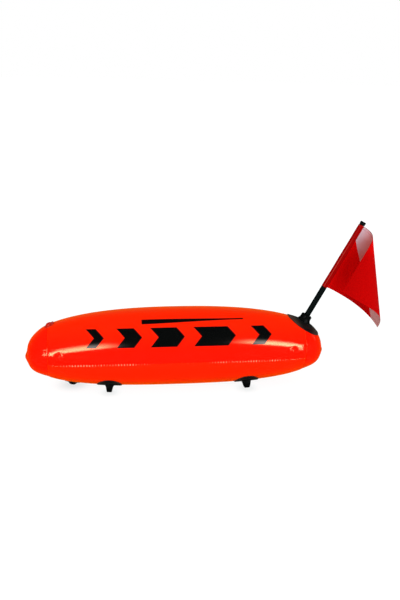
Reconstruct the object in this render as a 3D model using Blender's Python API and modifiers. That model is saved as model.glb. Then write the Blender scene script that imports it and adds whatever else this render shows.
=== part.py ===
"""An inflatable torpedo float: welded PVC hull, inflation valve, lugs, and a mast with its flag.

The bow points along -X and the stern, with the mast, along +X. Port is -Y. Metres, +Z up.
"""

import math

import bmesh
import bpy
import numpy as np
from mathutils import Matrix, Vector

# Hull: an inflated cigar of two long panels and two round end caps, welded where they lap
HULL_LENGTH = 0.802
HULL_DIAMETER = 0.2116
HULL_DROOP = 0.0085
END_POWER = 2.45
SIDE_POWER = 2.86
SKIN = 0.0006
CLEARANCE = 0.0003
WELD_LAP = 0.010
WELD_STEP = 0.0015
SEAM_ANGLE = math.radians(83.6)
SEAM_DIP = math.radians(12)
CAP_DEPTH = 0.057
LAP_SHARES = (0, 0.5, 1)
UPPER_FACETS = 18
LOWER_FACETS = 18
STATIONS = 18
CAP_RINGS = 6
STEEPEST_SHARE = 0.2
SEAT_ROUNDS = 12
WRAP_STEPS = 10

# Lugs: round welded patches that carry a moulded eye, two pairs under the hull and one at the bow
LUG_FROM_TIP = 0.216
LUG_ANGLE = math.radians(32)
PATCH_THICKNESS = 0.0020
LUG_PATCH_DIAMETER = 0.066
LUG_PATCH_FACETS = (24, 4)
LUG_HEIGHT = 0.0215
LUG_SPAN = 0.026
LUG_ROOT_WIDTH = 0.021
LUG_TIP_WIDTH = 0.013
LUG_EYE_DIAMETER = 0.010
LUG_EYE_HEIGHT = 0.0100
LUG_EDGE = 0.0010
TOW_FROM_TIP = 0.1186
TOW_PATCH_DIAMETER = 0.056
TOW_HEIGHT = 0.0148
TOW_SPAN = 0.0246
TOW_ROOT_WIDTH = 0.018
TOW_TIP_WIDTH = 0.012
TOW_EYE_DIAMETER = 0.0080
TOW_EYE_HEIGHT = 0.0080

# Mast socket: a boss on a round patch, with a blind cup that hangs inside the hull
MAST_FROM_TIP = 0.051
MAST_LEAN = math.radians(28)
MAST_PATCH_DIAMETER = 0.097
MAST_PATCH_FACETS = (40, 6)
BOSS_DIAMETER = 0.0300
BOSS_HEIGHT = 0.0195
BOSS_CHAMFER = 0.0022
CUP_DEPTH = 0.022
CUP_WALL = 0.0030
HOLE_CLEARANCE = 0.0010

# Mast: a plastic tube with a plug in its foot and a cap on its top
MAST_DIAMETER = 0.0130
MAST_WALL = 0.0015
MAST_REACH = 0.3113
PLUG_FLANGE = 0.0020
PLUG_DEPTH = 0.008
TIP_CAP_DIAMETER = 0.0158
TIP_CAP_LENGTH = 0.0087
TIP_CAP_ROOF = 0.0018
TIP_CAP_CHAMFER = 0.0010

# Flag: cloth with a sleeve round the mast, hanging in a fold that runs down from its top corner
HOIST = 0.1925
FLY = 0.227
CLOTH = 0.0008
SLEEVE_WALL = 0.0006
SLEEVE_DROP = 0.0017
APEX_RISE = 0.048
FLAG_SWING = math.radians(-49)
CURL_TABLE_SHARES = (0.5, 3.1, 2.4, 3.2, 6.6, 5.0, 1.3, -2.5)
CURL_STEP = math.radians(12)
FLAG_COLUMNS = 20
FLAG_ROWS = 12

# Valve: a soft push-in valve of the hull's own colour, with a stopper on a strap
VALVE_FROM_TIP = 0.060
VALVE_DIAMETER = 0.0280
VALVE_FLANGE = 0.0014
VALVE_SKIRT_DIAMETER = 0.0192
VALVE_SKIRT_DEPTH = 0.0080
VALVE_SKIRT_WALL = 0.0010
VALVE_LIP = 0.0012
NECK_DIAMETER = 0.0140
NECK_WALL = 0.0025
NECK_DEPTH = 0.0160
NECK_RIM_DIAMETER = 0.0168
NECK_RIM = 0.0014
STOPPER_DIAMETER = 0.0144
STOPPER_HEAD = 0.0020
STOPPER_PLUG = 0.0080
STOPPER_NOSE_SHARE = 0.8
STOPPER_TAPER_SHARE = 0.4
STOPPER_RIM_SHARE = 0.6
STOPPER_CROWN_SHARE = 0.8
FLAP_DIAMETER = 0.0124
FLAP_THICKNESS = 0.0008
STRAP_WIDTH = 0.0040
STRAP_THICKNESS = 0.0010
STRAP_REACH = 0.0050

OVERRUN = 0.004
MERGE = 0.000001
TURN_STEPS = 24

# Stations along the hull, from its middle
HALF = 0.5 * HULL_LENGTH
LUG_STATION = HALF - LUG_FROM_TIP
TOW_STATION = TOW_FROM_TIP - HALF
MAST_STATION = HALF - MAST_FROM_TIP
VALVE_STATION = VALVE_FROM_TIP - HALF


# Materials

def material(name, colour, roughness):
    made = bpy.data.materials.new(name)
    made.use_nodes = True
    shader = made.node_tree.nodes["Principled BSDF"]
    shader.inputs["Base Color"].default_value = (*colour, 1.0)
    shader.inputs["Roughness"].default_value = roughness
    return made


# The hull's shape

def hull_radius(x):
    return 0.5 * HULL_DIAMETER * max(1 - abs(x / HALF) ** END_POWER, 0) ** (1 / SIDE_POWER)


def hull_centre(x):
    """Height of the ring's centre at station x: the ends hang a little below the middle."""
    return -HULL_DROOP * (x / HALF) ** 2


def hull_point(x, angle, out=0.0):
    """The point at station x and at an angle from the keel towards port, out from the skin."""
    ring = Vector((0, -math.sin(angle), -math.cos(angle)))
    on_skin = Vector((x, 0, hull_centre(x))) + hull_radius(x) * ring
    if not out:
        return on_skin
    return on_skin + out * hull_normal(x, angle)


def hull_normal(x, angle):
    ring = Vector((0, -math.sin(angle), -math.cos(angle)))
    share = min(abs(x / HALF), 1.0)
    if share == 1.0:
        return Vector((math.copysign(1, x), 0, 0))
    rate = -math.copysign(END_POWER / SIDE_POWER, x) * share ** (END_POWER - 1)
    slope = hull_radius(x) / HALF * rate / (1 - share**END_POWER)
    along = Vector((1, 0, -2 * HULL_DROOP * x / HALF**2)) + slope * ring
    around = Vector((0, -math.cos(angle), math.sin(angle)))
    normal = along.cross(around)
    return normal.normalized() if normal.dot(ring) > 0 else -normal.normalized()


def seam_angle(x):
    """Where the side seam runs: level along the middle, and dipping towards the ends."""
    return SEAM_ANGLE - SEAM_DIP * (x / HALF) ** 4


def hull_frame(x, angle, lean=None):
    """A frame on the skin: x runs aft, z stands out along the normal, or at a lean from upright."""
    normal = hull_normal(x, angle)
    if lean is not None:
        normal = Vector((math.sin(lean), 0, math.cos(lean)))
    aft = Vector((1, 0, 0))
    aft = (aft - aft.dot(normal) * normal).normalized()
    across = normal.cross(aft)
    turned = Matrix((aft, across, normal)).transposed().to_4x4()
    return Matrix.Translation(hull_point(x, angle)) @ turned


def skin_height(frame, a, b):
    """How high the skin lies in a frame, over the point (a, b) of its base plane."""
    height = 0.0
    for _ in range(SEAT_ROUNDS):
        p = frame @ Vector((a, b, height))
        off_axis = Vector((0, p.y, p.z - hull_centre(p.x)))
        miss = off_axis.length - hull_radius(p.x)
        height -= miss / max(frame.col[2].to_3d().dot(off_axis.normalized()), STEEPEST_SHARE)
    return height


def wrapped(x, angle, a, b, out):
    """A point of a flat patch laid on the skin: a runs aft and b runs round, both along the skin."""
    station = x
    for _ in range(WRAP_STEPS):
        lean = hull_normal(station, angle).x
        station += a / WRAP_STEPS * math.sqrt(1 - lean**2)
    return hull_point(station, angle + b / hull_radius(station), out)


# Ways of making a mesh

def finish(name, mesh, collection, parent, colour, frame=None):
    """Makes the object, with its mesh in a frame of the hull, under its parent."""
    obj = bpy.data.objects.new(name, mesh)
    collection.objects.link(obj)
    obj.data.materials.clear()
    obj.data.materials.append(colour)
    obj.parent = parent
    if frame is not None:
        obj.matrix_local = frame
    obj.data.shade_smooth()
    obj.data.set_sharp_from_angle(angle=math.radians(35))
    return obj


def grid_mesh(name, columns, rows, place):
    """A surface over a grid: place(u, v) gives the point at shares u and v, from 0 to 1.

    Points that fall together, as where a ring closes or at a pole, are merged.
    """
    made = bmesh.new()
    bmesh.ops.create_grid(made, x_segments=columns, y_segments=rows, size=0.5)
    for vertex in made.verts:
        vertex.co = place(vertex.co.x + 0.5, vertex.co.y + 0.5)
    bmesh.ops.remove_doubles(made, verts=made.verts, dist=MERGE)
    bmesh.ops.dissolve_degenerate(made, edges=made.edges, dist=MERGE)
    bmesh.ops.recalc_face_normals(made, faces=made.faces)
    mesh = bpy.data.meshes.new(name)
    made.to_mesh(mesh)
    made.free()
    return mesh


def point_outwards(mesh, outward):
    """Turns an open surface so that its first face looks the way that outward gives for a point."""
    face = mesh.polygons[0]
    if face.normal.dot(outward(face.center)) < 0:
        mesh.flip_normals()


def thicken(obj, thickness, outwards):
    wall = obj.modifiers.new("wall", "SOLIDIFY")
    wall.thickness = thickness
    wall.offset = 1 if outwards else -1
    wall.use_even_offset = True


def turned_mesh(name, profile):
    """A closed profile of (radius, height) points, turned about z."""
    made = bmesh.new()
    ring = [made.verts.new((radius, 0, height)) for radius, height in profile]
    edges = [made.edges.new((ring[i - 1], ring[i])) for i in range(len(ring)) if ring[i - 1] != ring[i]]
    bmesh.ops.spin(
        made, geom=ring + edges, axis=(0, 0, 1), cent=(0, 0, 0), angle=2 * math.pi,
        steps=TURN_STEPS, use_merge=True,
    )
    bmesh.ops.remove_doubles(made, verts=made.verts, dist=MERGE)
    bmesh.ops.dissolve_degenerate(made, edges=made.edges, dist=MERGE)
    bmesh.ops.recalc_face_normals(made, faces=made.faces)
    mesh = bpy.data.meshes.new(name)
    made.to_mesh(mesh)
    made.free()
    return mesh


def seat_on_skin(mesh, frame, level, over, inner_radius):
    """Moves the ring of points at one level, outside a radius, onto the skin plus a height."""
    for vertex in mesh.vertices:
        off_axis = math.hypot(vertex.co.x, vertex.co.y)
        if abs(vertex.co.z - level) < MERGE and off_axis > inner_radius:
            vertex.co.z = skin_height(frame, vertex.co.x, vertex.co.y) + over


def round_cutter(name, collection, parent, frame, radius, depth):
    made = bmesh.new()
    bmesh.ops.create_cone(
        made, cap_ends=True, segments=TURN_STEPS, radius1=radius, radius2=radius, depth=2 * depth
    )
    mesh = bpy.data.meshes.new(name)
    made.to_mesh(mesh)
    made.free()
    cutter = bpy.data.objects.new(name, mesh)
    collection.objects.link(cutter)
    cutter.parent = parent
    cutter.matrix_local = frame
    cutter.hide_render = True
    cutter.display_type = "WIRE"
    return cutter


def cut(obj, cutter):
    hole = obj.modifiers.new(cutter.name, "BOOLEAN")
    hole.operation = "DIFFERENCE"
    hole.solver = "EXACT"
    hole.object = cutter


# Hull panels and end caps

def cap_rim():
    """Station where an end cap's rim lies on the panels, which step down just before it."""
    return HALF - CAP_DEPTH


def lap_stations():
    """Stations that a panel's stepped end and the end cap over it share."""
    return [cap_rim() + share * WELD_LAP for share in LAP_SHARES]


def lap_end_angle(x):
    return seam_angle(x) + WELD_LAP / hull_radius(x)


def upper_angles(x):
    """Angles of the upper panel's points, round from one side seam to the other."""
    first = lap_end_angle(x)
    across = [first + 2 * (math.pi - first) * i / UPPER_FACETS for i in range(UPPER_FACETS + 1)]
    return [seam_angle(x)] + across + [2 * math.pi - seam_angle(x)]


def lower_angles(x):
    """Angles of the lower panel's points between the steps that tuck it under the upper one."""
    free = seam_angle(x) - (WELD_STEP + CLEARANCE) / hull_radius(x)
    return [-free + 2 * free * i / LOWER_FACETS for i in range(LOWER_FACETS + 1)]


def tucked_angles(x):
    """Angles of the lower panel's lap, which shares its end with a point of the upper panel."""
    return [seam_angle(x) - CLEARANCE / hull_radius(x), lap_end_angle(x)]


def skin_from_rings(name, stations, angles, inset, collection, parent, colour):
    """A skin through rings of points; inset(i, j) gives how many steps a point lies inside."""
    last_angle = len(angles(0.0)) - 1
    last_station = len(stations) - 1

    def place(u, v):
        i, j = round(u * last_angle), round(v * last_station)
        step = SKIN + CLEARANCE
        return hull_point(stations[j], angles(stations[j])[i], -step * inset(i, j))

    mesh = grid_mesh(name, last_angle, last_station, place)
    point_outwards(mesh, lambda p: Vector((0, p.y, p.z + HULL_DROOP)))
    obj = finish(name, mesh, collection, parent, colour)
    thicken(obj, SKIN, outwards=False)
    return obj


def panel_stations():
    bend = cap_rim() - WELD_STEP
    middle = [bend * math.sin(0.5 * math.pi * (2 * i / STATIONS - 1)) for i in range(STATIONS + 1)]
    return [-x for x in reversed(lap_stations())] + middle + lap_stations()


def under_cap(station):
    """1 where a panel lies under an end cap, by the number of its station."""
    laps = len(LAP_SHARES)
    return int(station < laps or station >= len(panel_stations()) - laps)


def hull_panel_upper(collection, parent, colour):
    return skin_from_rings(
        "hull_panel_upper", panel_stations(), upper_angles, lambda i, j: under_cap(j),
        collection, parent, colour,
    )


def hull_panel_lower(collection, parent, colour):
    laps = len(tucked_angles(0.0))

    def angles(x):
        return [-a for a in reversed(tucked_angles(x))] + lower_angles(x) + tucked_angles(x)

    def inset(i, j):
        return under_cap(j) + int(i < laps or i > laps + LOWER_FACETS)

    return skin_from_rings(
        "hull_panel_lower", panel_stations(), angles, inset, collection, parent, colour
    )


def end_cap(name, side, collection, parent, colour):
    """A round end cap: side is -1 at the bow and 1 at the stern."""
    turned = math.asin((lap_stations()[-1] / HALF) ** (0.5 * END_POWER))
    turns = [turned + (0.5 * math.pi - turned) * i / CAP_RINGS for i in range(1, CAP_RINGS)]
    stations = lap_stations() + [HALF * math.sin(t) ** (2 / END_POWER) for t in turns] + [HALF]

    def angles(x):
        if abs(x) == HALF:
            x = math.copysign(stations[-2], x)
        return lower_angles(x) + upper_angles(x) + [2 * math.pi + lower_angles(x)[0]]

    return skin_from_rings(
        name, [side * x for x in stations], angles, lambda i, j: 0, collection, parent, colour
    )


# Patches and lugs

def patch(name, x, angle, diameter, bore, facets, collection, parent, colour):
    """A round patch laid on the skin, with a bore in its middle where one is given."""
    around, rings = facets
    frame = hull_frame(x, angle)
    back = frame.inverted()

    def place(u, v):
        reach = 0.5 * (bore + (diameter - bore) * v)
        turn = 2 * math.pi * u
        return back @ wrapped(x, angle, reach * math.cos(turn), reach * math.sin(turn), CLEARANCE)

    mesh = grid_mesh(name, around, rings, place)
    point_outwards(mesh, lambda p: Vector((0, 0, 1)))
    obj = finish(name, mesh, collection, parent, colour, frame)
    thicken(obj, PATCH_THICKNESS, outwards=True)
    return obj


def arch_outline(height, span):
    """An arch that stands on the patch, as a closed loop of (across, up) points."""
    sole, arc = 6, 14
    radius = 0.5 * span
    foot = PATCH_THICKNESS + 2 * CLEARANCE
    turns = [math.pi * i / arc for i in range(arc + 1)]
    over = [(radius * math.cos(t), height - radius + radius * math.sin(t)) for t in turns]
    return [(span * (i / sole - 0.5), foot) for i in range(sole + 1)] + over


def ring_outline(radius, height):
    sides = 16
    turns = [2 * math.pi * i / sides for i in range(sides)]
    return [(radius * math.cos(t), height + radius * math.sin(t)) for t in turns]


def flat_curve(name, loops, thickness):
    """A flat outline with holes, extruded, as one closed mesh."""
    curve = bpy.data.curves.new(name, "CURVE")
    curve.dimensions = "2D"
    curve.fill_mode = "BOTH"
    curve.extrude = 0.5 * thickness
    for loop in loops:
        spline = curve.splines.new("POLY")
        spline.points.add(len(loop) - 1)
        for point, (across, up) in zip(spline.points, loop):
            point.co = (across, up, 0, 1)
        spline.use_cyclic_u = True
    drawn = bpy.data.objects.new(name, curve)
    bpy.context.scene.collection.objects.link(drawn)
    graph = bpy.context.evaluated_depsgraph_get()
    mesh = bpy.data.meshes.new_from_object(drawn.evaluated_get(graph))
    bpy.data.objects.remove(drawn)
    bpy.data.curves.remove(curve)
    made = bmesh.new()
    made.from_mesh(mesh)
    bmesh.ops.remove_doubles(made, verts=made.verts, dist=MERGE)
    bmesh.ops.recalc_face_normals(made, faces=made.faces)
    made.to_mesh(mesh)
    made.free()
    return mesh


def taper_and_seat(mesh, frame, height, root, tip, crosswise):
    """Seats an extruded arch on its patch and narrows it evenly from root to tip.

    The extrusion runs fore and aft, or crosswise, in which case the sole is level across.
    """
    foot = PATCH_THICKNESS + 2 * CLEARANCE
    for vertex in mesh.vertices:
        across, up, through = vertex.co
        if up < foot + MERGE:
            up += skin_height(frame, across, 0) if crosswise else skin_height(frame, through, across)
        through *= 1 - (1 - tip / root) * (up - foot) / (height - foot)
        vertex.co = (across, through, up) if crosswise else (through, across, up)
    made = bmesh.new()
    made.from_mesh(mesh)
    bmesh.ops.recalc_face_normals(made, faces=made.faces)
    made.to_mesh(mesh)
    made.free()


def soften_edges(obj):
    edge = obj.modifiers.new("edge", "BEVEL")
    edge.width = LUG_EDGE
    edge.segments = 1
    edge.limit_method = "ANGLE"
    edge.angle_limit = math.radians(50)


def lug_eye(name, x, angle, collection, parent, colour):
    """A moulded eye that stands on its patch, with its bore running fore and aft."""
    frame = hull_frame(x, angle)
    loops = [
        arch_outline(LUG_HEIGHT, LUG_SPAN),
        ring_outline(0.5 * LUG_EYE_DIAMETER, LUG_EYE_HEIGHT),
    ]
    mesh = flat_curve(name, loops, LUG_ROOT_WIDTH)
    taper_and_seat(mesh, frame, LUG_HEIGHT, LUG_ROOT_WIDTH, LUG_TIP_WIDTH, False)
    obj = finish(name, mesh, collection, parent, colour, frame)
    soften_edges(obj)


def tow_lug_eye(collection, cutters, parent, colour):
    """The bow's lower eye: an arch seen from the side, with its bore running fore and aft too."""
    frame = hull_frame(TOW_STATION, 0)
    mesh = flat_curve("tow_lug_eye", [arch_outline(TOW_HEIGHT, TOW_SPAN)], TOW_ROOT_WIDTH)
    taper_and_seat(mesh, frame, TOW_HEIGHT, TOW_ROOT_WIDTH, TOW_TIP_WIDTH, True)
    obj = finish("tow_lug_eye", mesh, collection, parent, colour, frame)
    lying = Matrix.Translation((0, 0, TOW_EYE_HEIGHT)) @ Matrix.Rotation(0.5 * math.pi, 4, "Y")
    bore = round_cutter(
        "tow_lug_bore", cutters, parent, frame @ lying, 0.5 * TOW_EYE_DIAMETER, TOW_SPAN
    )
    cut(obj, bore)


# Mast, socket and flag

def bore_radius():
    return 0.5 * MAST_DIAMETER + CLEARANCE


def cup_radius():
    return bore_radius() + CUP_WALL


def mast_socket(collection, parent, frame, colour):
    """The boss and its blind cup, turned about the mast's axis. Heights run from the skin."""
    foot = PATCH_THICKNESS + 2 * CLEARANCE
    boss = 0.5 * BOSS_DIAMETER
    profile = [
        (0, -CUP_DEPTH),
        (cup_radius(), -CUP_DEPTH),
        (cup_radius(), foot),
        (boss, foot),
        (boss, BOSS_HEIGHT - BOSS_CHAMFER),
        (boss - BOSS_CHAMFER, BOSS_HEIGHT),
        (bore_radius(), BOSS_HEIGHT),
        (bore_radius(), CUP_WALL - CUP_DEPTH),
        (0, CUP_WALL - CUP_DEPTH),
    ]
    mesh = turned_mesh("mast_socket", profile)
    seat_on_skin(mesh, frame, foot, foot, cup_radius() - MERGE)
    return finish("mast_socket", mesh, collection, parent, colour)


def mast_foot():
    """Height of the mast's foot in the cup, below the skin."""
    return CUP_WALL - CUP_DEPTH + CLEARANCE


def mast_foot_plug(collection, parent, colour):
    plug = 0.5 * MAST_DIAMETER - MAST_WALL - CLEARANCE
    flange_top = mast_foot() + PLUG_FLANGE
    profile = [
        (0, mast_foot()),
        (0.5 * MAST_DIAMETER, mast_foot()),
        (0.5 * MAST_DIAMETER, flange_top),
        (plug, flange_top),
        (plug, flange_top + PLUG_DEPTH),
        (0, flange_top + PLUG_DEPTH),
    ]
    return finish(
        "mast_foot_plug", turned_mesh("mast_foot_plug", profile), collection, parent, colour
    )


def mast_tube(collection, parent, colour):
    inner = 0.5 * MAST_DIAMETER - MAST_WALL
    low = mast_foot() + PLUG_FLANGE + CLEARANCE
    profile = [
        (inner, low),
        (0.5 * MAST_DIAMETER, low),
        (0.5 * MAST_DIAMETER, MAST_REACH),
        (inner, MAST_REACH),
    ]
    return finish("mast_tube", turned_mesh("mast_tube", profile), collection, parent, colour)


def tip_cap_foot():
    return MAST_REACH + CLEARANCE + TIP_CAP_ROOF - TIP_CAP_LENGTH


def mast_tip_cap(collection, parent, colour):
    outer = 0.5 * TIP_CAP_DIAMETER
    roof = MAST_REACH + CLEARANCE
    profile = [
        (bore_radius(), tip_cap_foot()),
        (outer, tip_cap_foot()),
        (outer, roof + TIP_CAP_ROOF - TIP_CAP_CHAMFER),
        (outer - TIP_CAP_CHAMFER, roof + TIP_CAP_ROOF),
        (0, roof + TIP_CAP_ROOF),
        (0, roof),
        (bore_radius(), roof),
    ]
    return finish("mast_tip_cap", turned_mesh("mast_tip_cap", profile), collection, parent, colour)


def flag_top():
    return tip_cap_foot() - SLEEVE_DROP


def flag_sleeve(collection, parent, colour):
    inner = bore_radius()
    low = flag_top() - HOIST
    profile = [
        (inner, low),
        (inner + SLEEVE_WALL, low),
        (inner + SLEEVE_WALL, flag_top()),
        (inner, flag_top()),
    ]
    return finish("flag_sleeve", turned_mesh("flag_sleeve", profile), collection, parent, colour)


def drape_directions():
    """Unit vectors from the flag's apex, one for each small step of the angle about it.

    The cloth is a flat sheet rolled about an apex on the mast's line, so it neither stretches
    nor shrinks: a point keeps its distance from the apex, and the direction to it runs along a
    curve on the unit sphere, whose bend at each angle the curl table gives.
    """
    angles = np.arange(0, CURL_STEP * (len(CURL_TABLE_SHARES) - 1), math.radians(0.5))
    nodes = CURL_STEP * np.arange(len(CURL_TABLE_SHARES))
    out = Vector((0, 0, -1))
    along = Vector((math.cos(FLAG_SWING), -math.sin(FLAG_SWING), 0))
    side = out.cross(along)
    directions = [out.copy()]
    step = float(angles[1] - angles[0])
    for angle in angles[1:]:
        curl = float(np.interp(angle - 0.5 * step, nodes, CURL_TABLE_SHARES))
        out_before, along_before = out.copy(), along.copy()
        out = (out_before + step * along_before).normalized()
        along = along_before - step * out_before + curl * step * side
        side = side - curl * step * along_before
        along = (along - along.dot(out) * out).normalized()
        side = (side - side.dot(out) * out - side.dot(along) * along).normalized()
        directions.append(out.copy())
    return angles, np.array([tuple(d) for d in directions])


def flag_cloth(collection, parent, colour):
    """The hanging cloth, from the sleeve's seam to the fly, in the mast's own frame."""
    angles, directions = drape_directions()
    start = bore_radius() + SLEEVE_WALL + CLEARANCE

    def place(u, v):
        across = start + (FLY - start) * u
        down = APEX_RISE + HOIST * v
        reach = math.hypot(across, down)
        angle = math.atan2(across, down)
        way = [float(np.interp(angle, angles, directions[:, k])) for k in range(3)]
        return Vector((0, 0, flag_top() + APEX_RISE)) + reach * Vector(way).normalized()

    mesh = grid_mesh("flag_cloth", FLAG_COLUMNS, FLAG_ROWS, place)
    obj = finish("flag_cloth", mesh, collection, parent, colour)
    wall = obj.modifiers.new("cloth", "SOLIDIFY")
    wall.thickness = CLOTH
    wall.offset = 0
    wall.use_even_offset = True
    return obj


# Valve

def neck_radius():
    return 0.5 * NECK_DIAMETER


def neck_rim_foot():
    return VALVE_FLANGE + 2 * CLEARANCE


def stopper_foot():
    return neck_rim_foot() + NECK_RIM + CLEARANCE


def valve_flange(collection, parent, frame, colour):
    """The welded flange with the skirt that hangs through the hull's hole and guides the neck."""
    outer = 0.5 * VALVE_DIAMETER
    skirt = 0.5 * VALVE_SKIRT_DIAMETER
    inner = skirt - VALVE_SKIRT_WALL
    lip = neck_radius() + CLEARANCE
    top = CLEARANCE + VALVE_FLANGE
    profile = [
        (outer, CLEARANCE),
        (outer, 0.5 * top),
        (skirt, top),
        (inner, top),
        (inner, VALVE_LIP - VALVE_SKIRT_DEPTH),
        (lip, VALVE_LIP - VALVE_SKIRT_DEPTH),
        (lip, -VALVE_SKIRT_DEPTH),
        (skirt, -VALVE_SKIRT_DEPTH),
        (skirt, CLEARANCE),
    ]
    mesh = turned_mesh("valve_flange", profile)
    for vertex in mesh.vertices:
        if math.hypot(vertex.co.x, vertex.co.y) > skirt + MERGE:
            vertex.co.z += skin_height(frame, vertex.co.x, vertex.co.y)
    return finish("valve_flange", mesh, collection, parent, colour)


def valve_neck(collection, parent, colour):
    inner = neck_radius() - NECK_WALL
    rim = 0.5 * NECK_RIM_DIAMETER
    profile = [
        (inner, -NECK_DEPTH),
        (neck_radius(), -NECK_DEPTH),
        (neck_radius(), neck_rim_foot()),
        (rim, neck_rim_foot()),
        (rim, neck_rim_foot() + NECK_RIM),
        (inner, neck_rim_foot() + NECK_RIM),
    ]
    return finish("valve_neck", turned_mesh("valve_neck", profile), collection, parent, colour)


def valve_stopper(collection, parent, colour):
    head = 0.5 * STOPPER_DIAMETER
    plug = neck_radius() - NECK_WALL - CLEARANCE
    low = stopper_foot() - STOPPER_PLUG
    profile = [
        (0, low),
        (STOPPER_NOSE_SHARE * plug, low),
        (plug, low + STOPPER_TAPER_SHARE * plug),
        (plug, stopper_foot()),
        (head, stopper_foot()),
        (head, stopper_foot() + STOPPER_RIM_SHARE * STOPPER_HEAD),
        (STOPPER_CROWN_SHARE * head, stopper_foot() + STOPPER_HEAD),
        (0, stopper_foot() + STOPPER_HEAD),
    ]
    return finish("valve_stopper", turned_mesh("valve_stopper", profile), collection, parent, colour)


def valve_check_flap(collection, parent, colour):
    top = -NECK_DEPTH - CLEARANCE
    radius = 0.5 * FLAP_DIAMETER
    profile = [(0, top - FLAP_THICKNESS), (radius, top - FLAP_THICKNESS), (radius, top), (0, top)]
    mesh = turned_mesh("valve_check_flap", profile)
    mesh.transform(Matrix.Translation((radius, 0, -top)))
    obj = finish("valve_check_flap", mesh, collection, parent, colour)
    obj.location = (-radius, 0, top)
    return obj


def valve_strap(collection, parent, colour):
    """A short strap that loops from the neck's rim up to the stopper's head, on the aft side."""
    rim = 0.5 * NECK_RIM_DIAMETER + CLEARANCE
    head = 0.5 * STOPPER_DIAMETER + CLEARANCE
    low = neck_rim_foot() + 0.5 * (NECK_RIM - STRAP_THICKNESS)
    high = stopper_foot() + 0.5 * (STOPPER_HEAD - STRAP_THICKNESS)
    turn = 0.5 * (high - low)
    centre = rim + STRAP_REACH - turn
    steps = 6

    def arc(radius, grow):
        return [
            (
                centre + radius * math.cos(math.pi * (i / steps - 0.5)),
                low + turn + 0.5 * STRAP_THICKNESS + radius * math.sin(math.pi * (i / steps - 0.5)),
            )
            for i in (range(steps + 1) if grow else range(steps, -1, -1))
        ]

    outer = arc(turn + 0.5 * STRAP_THICKNESS, True)
    inner = arc(turn - 0.5 * STRAP_THICKNESS, False)
    loop = [(rim, low)] + outer + [(head, high + STRAP_THICKNESS), (head, high)] + inner
    loop.append((rim, low + STRAP_THICKNESS))
    mesh = flat_curve("valve_strap", [loop], STRAP_WIDTH)
    mesh.transform(Matrix.Rotation(0.5 * math.pi, 4, "X"))
    return finish("valve_strap", mesh, collection, parent, colour)


# Assembly

def axis_empty(name, collection, parent, frame):
    empty = bpy.data.objects.new(name, None)
    collection.objects.link(empty)
    empty.parent = parent
    empty.matrix_local = frame
    return empty


def lowest_and_highest(objects):
    graph = bpy.context.evaluated_depsgraph_get()
    points = []
    for obj in objects:
        evaluated = obj.evaluated_get(graph)
        points += [tuple(evaluated.matrix_world @ vertex.co) for vertex in evaluated.data.vertices]
    return np.min(points, axis=0), np.max(points, axis=0)


def main():
    for obj in list(bpy.data.objects):
        bpy.data.objects.remove(obj)
    parts = bpy.data.collections.new("torpedo_float")
    cutters = bpy.data.collections.new("cutters")
    bpy.context.scene.collection.children.link(parts)
    bpy.context.scene.collection.children.link(cutters)

    vinyl = material("orange_vinyl", (1.0, 0.025, 0.0), 0.28)
    black = material("black_vinyl", (0.012, 0.013, 0.014), 0.35)
    plastic = material("black_plastic", (0.010, 0.014, 0.014), 0.45)
    cloth = material("flag_red", (0.55, 0.0, 0.0), 0.75)

    root = axis_empty("float_frame", parts, None, Matrix())
    mast_frame = hull_frame(MAST_STATION, math.pi, MAST_LEAN)
    valve_frame = hull_frame(VALVE_STATION, math.pi)
    mast_axis = axis_empty("mast_axis", parts, root, mast_frame)
    valve_axis = axis_empty("valve_axis", parts, root, valve_frame)

    upper = hull_panel_upper(parts, root, vinyl)
    hull_panel_lower(parts, root, vinyl)
    bow = end_cap("end_cap_bow", -1, parts, root, vinyl)
    stern = end_cap("end_cap_stern", 1, parts, root, vinyl)
    socket_hole = round_cutter(
        "socket_hole", cutters, root, mast_frame, cup_radius() + HOLE_CLEARANCE,
        PATCH_THICKNESS + OVERRUN,
    )
    valve_hole = round_cutter(
        "valve_hole", cutters, root, valve_frame, 0.5 * VALVE_SKIRT_DIAMETER + CLEARANCE,
        VALVE_FLANGE + OVERRUN,
    )
    cut(upper, socket_hole)
    cut(stern, socket_hole)
    cut(upper, valve_hole)
    cut(bow, valve_hole)

    for end, station in (("bow", -LUG_STATION), ("stern", LUG_STATION)):
        for side, angle in (("port", LUG_ANGLE), ("starboard", -LUG_ANGLE)):
            name = f"lug_patch_{end}_{side}"
            patch(name, station, angle, LUG_PATCH_DIAMETER, 0, LUG_PATCH_FACETS, parts, root, black)
            lug_eye(f"lug_eye_{end}_{side}", station, angle, parts, root, black)
    patch(
        "tow_lug_patch", TOW_STATION, 0, TOW_PATCH_DIAMETER, 0, LUG_PATCH_FACETS, parts, root, black
    )
    tow_lug_eye(parts, cutters, root, black)

    socket_bore = 2 * (cup_radius() + HOLE_CLEARANCE)
    patch(
        "mast_patch", MAST_STATION, math.pi, MAST_PATCH_DIAMETER, socket_bore, MAST_PATCH_FACETS,
        parts, root, black,
    )
    mast_socket(parts, mast_axis, mast_frame, black)
    mast_foot_plug(parts, mast_axis, plastic)
    mast_tube(parts, mast_axis, plastic)
    mast_tip_cap(parts, mast_axis, plastic)
    flag_sleeve(parts, mast_axis, cloth)
    flag_cloth(parts, mast_axis, cloth)

    valve_flange(parts, valve_axis, valve_frame, vinyl)
    valve_neck(parts, valve_axis, vinyl)
    valve_stopper(parts, valve_axis, vinyl)
    valve_check_flap(parts, valve_axis, vinyl)
    valve_strap(parts, valve_axis, vinyl)

    # the origin goes to the middle of the underside of the whole float, flag and all
    bpy.context.view_layer.update()
    low, high = lowest_and_highest([obj for obj in parts.objects if obj.type == "MESH"])
    middle = 0.5 * (low + high)
    root.location = (-middle[0], 0, -low[2])
    bpy.context.view_layer.update()


main()
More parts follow.
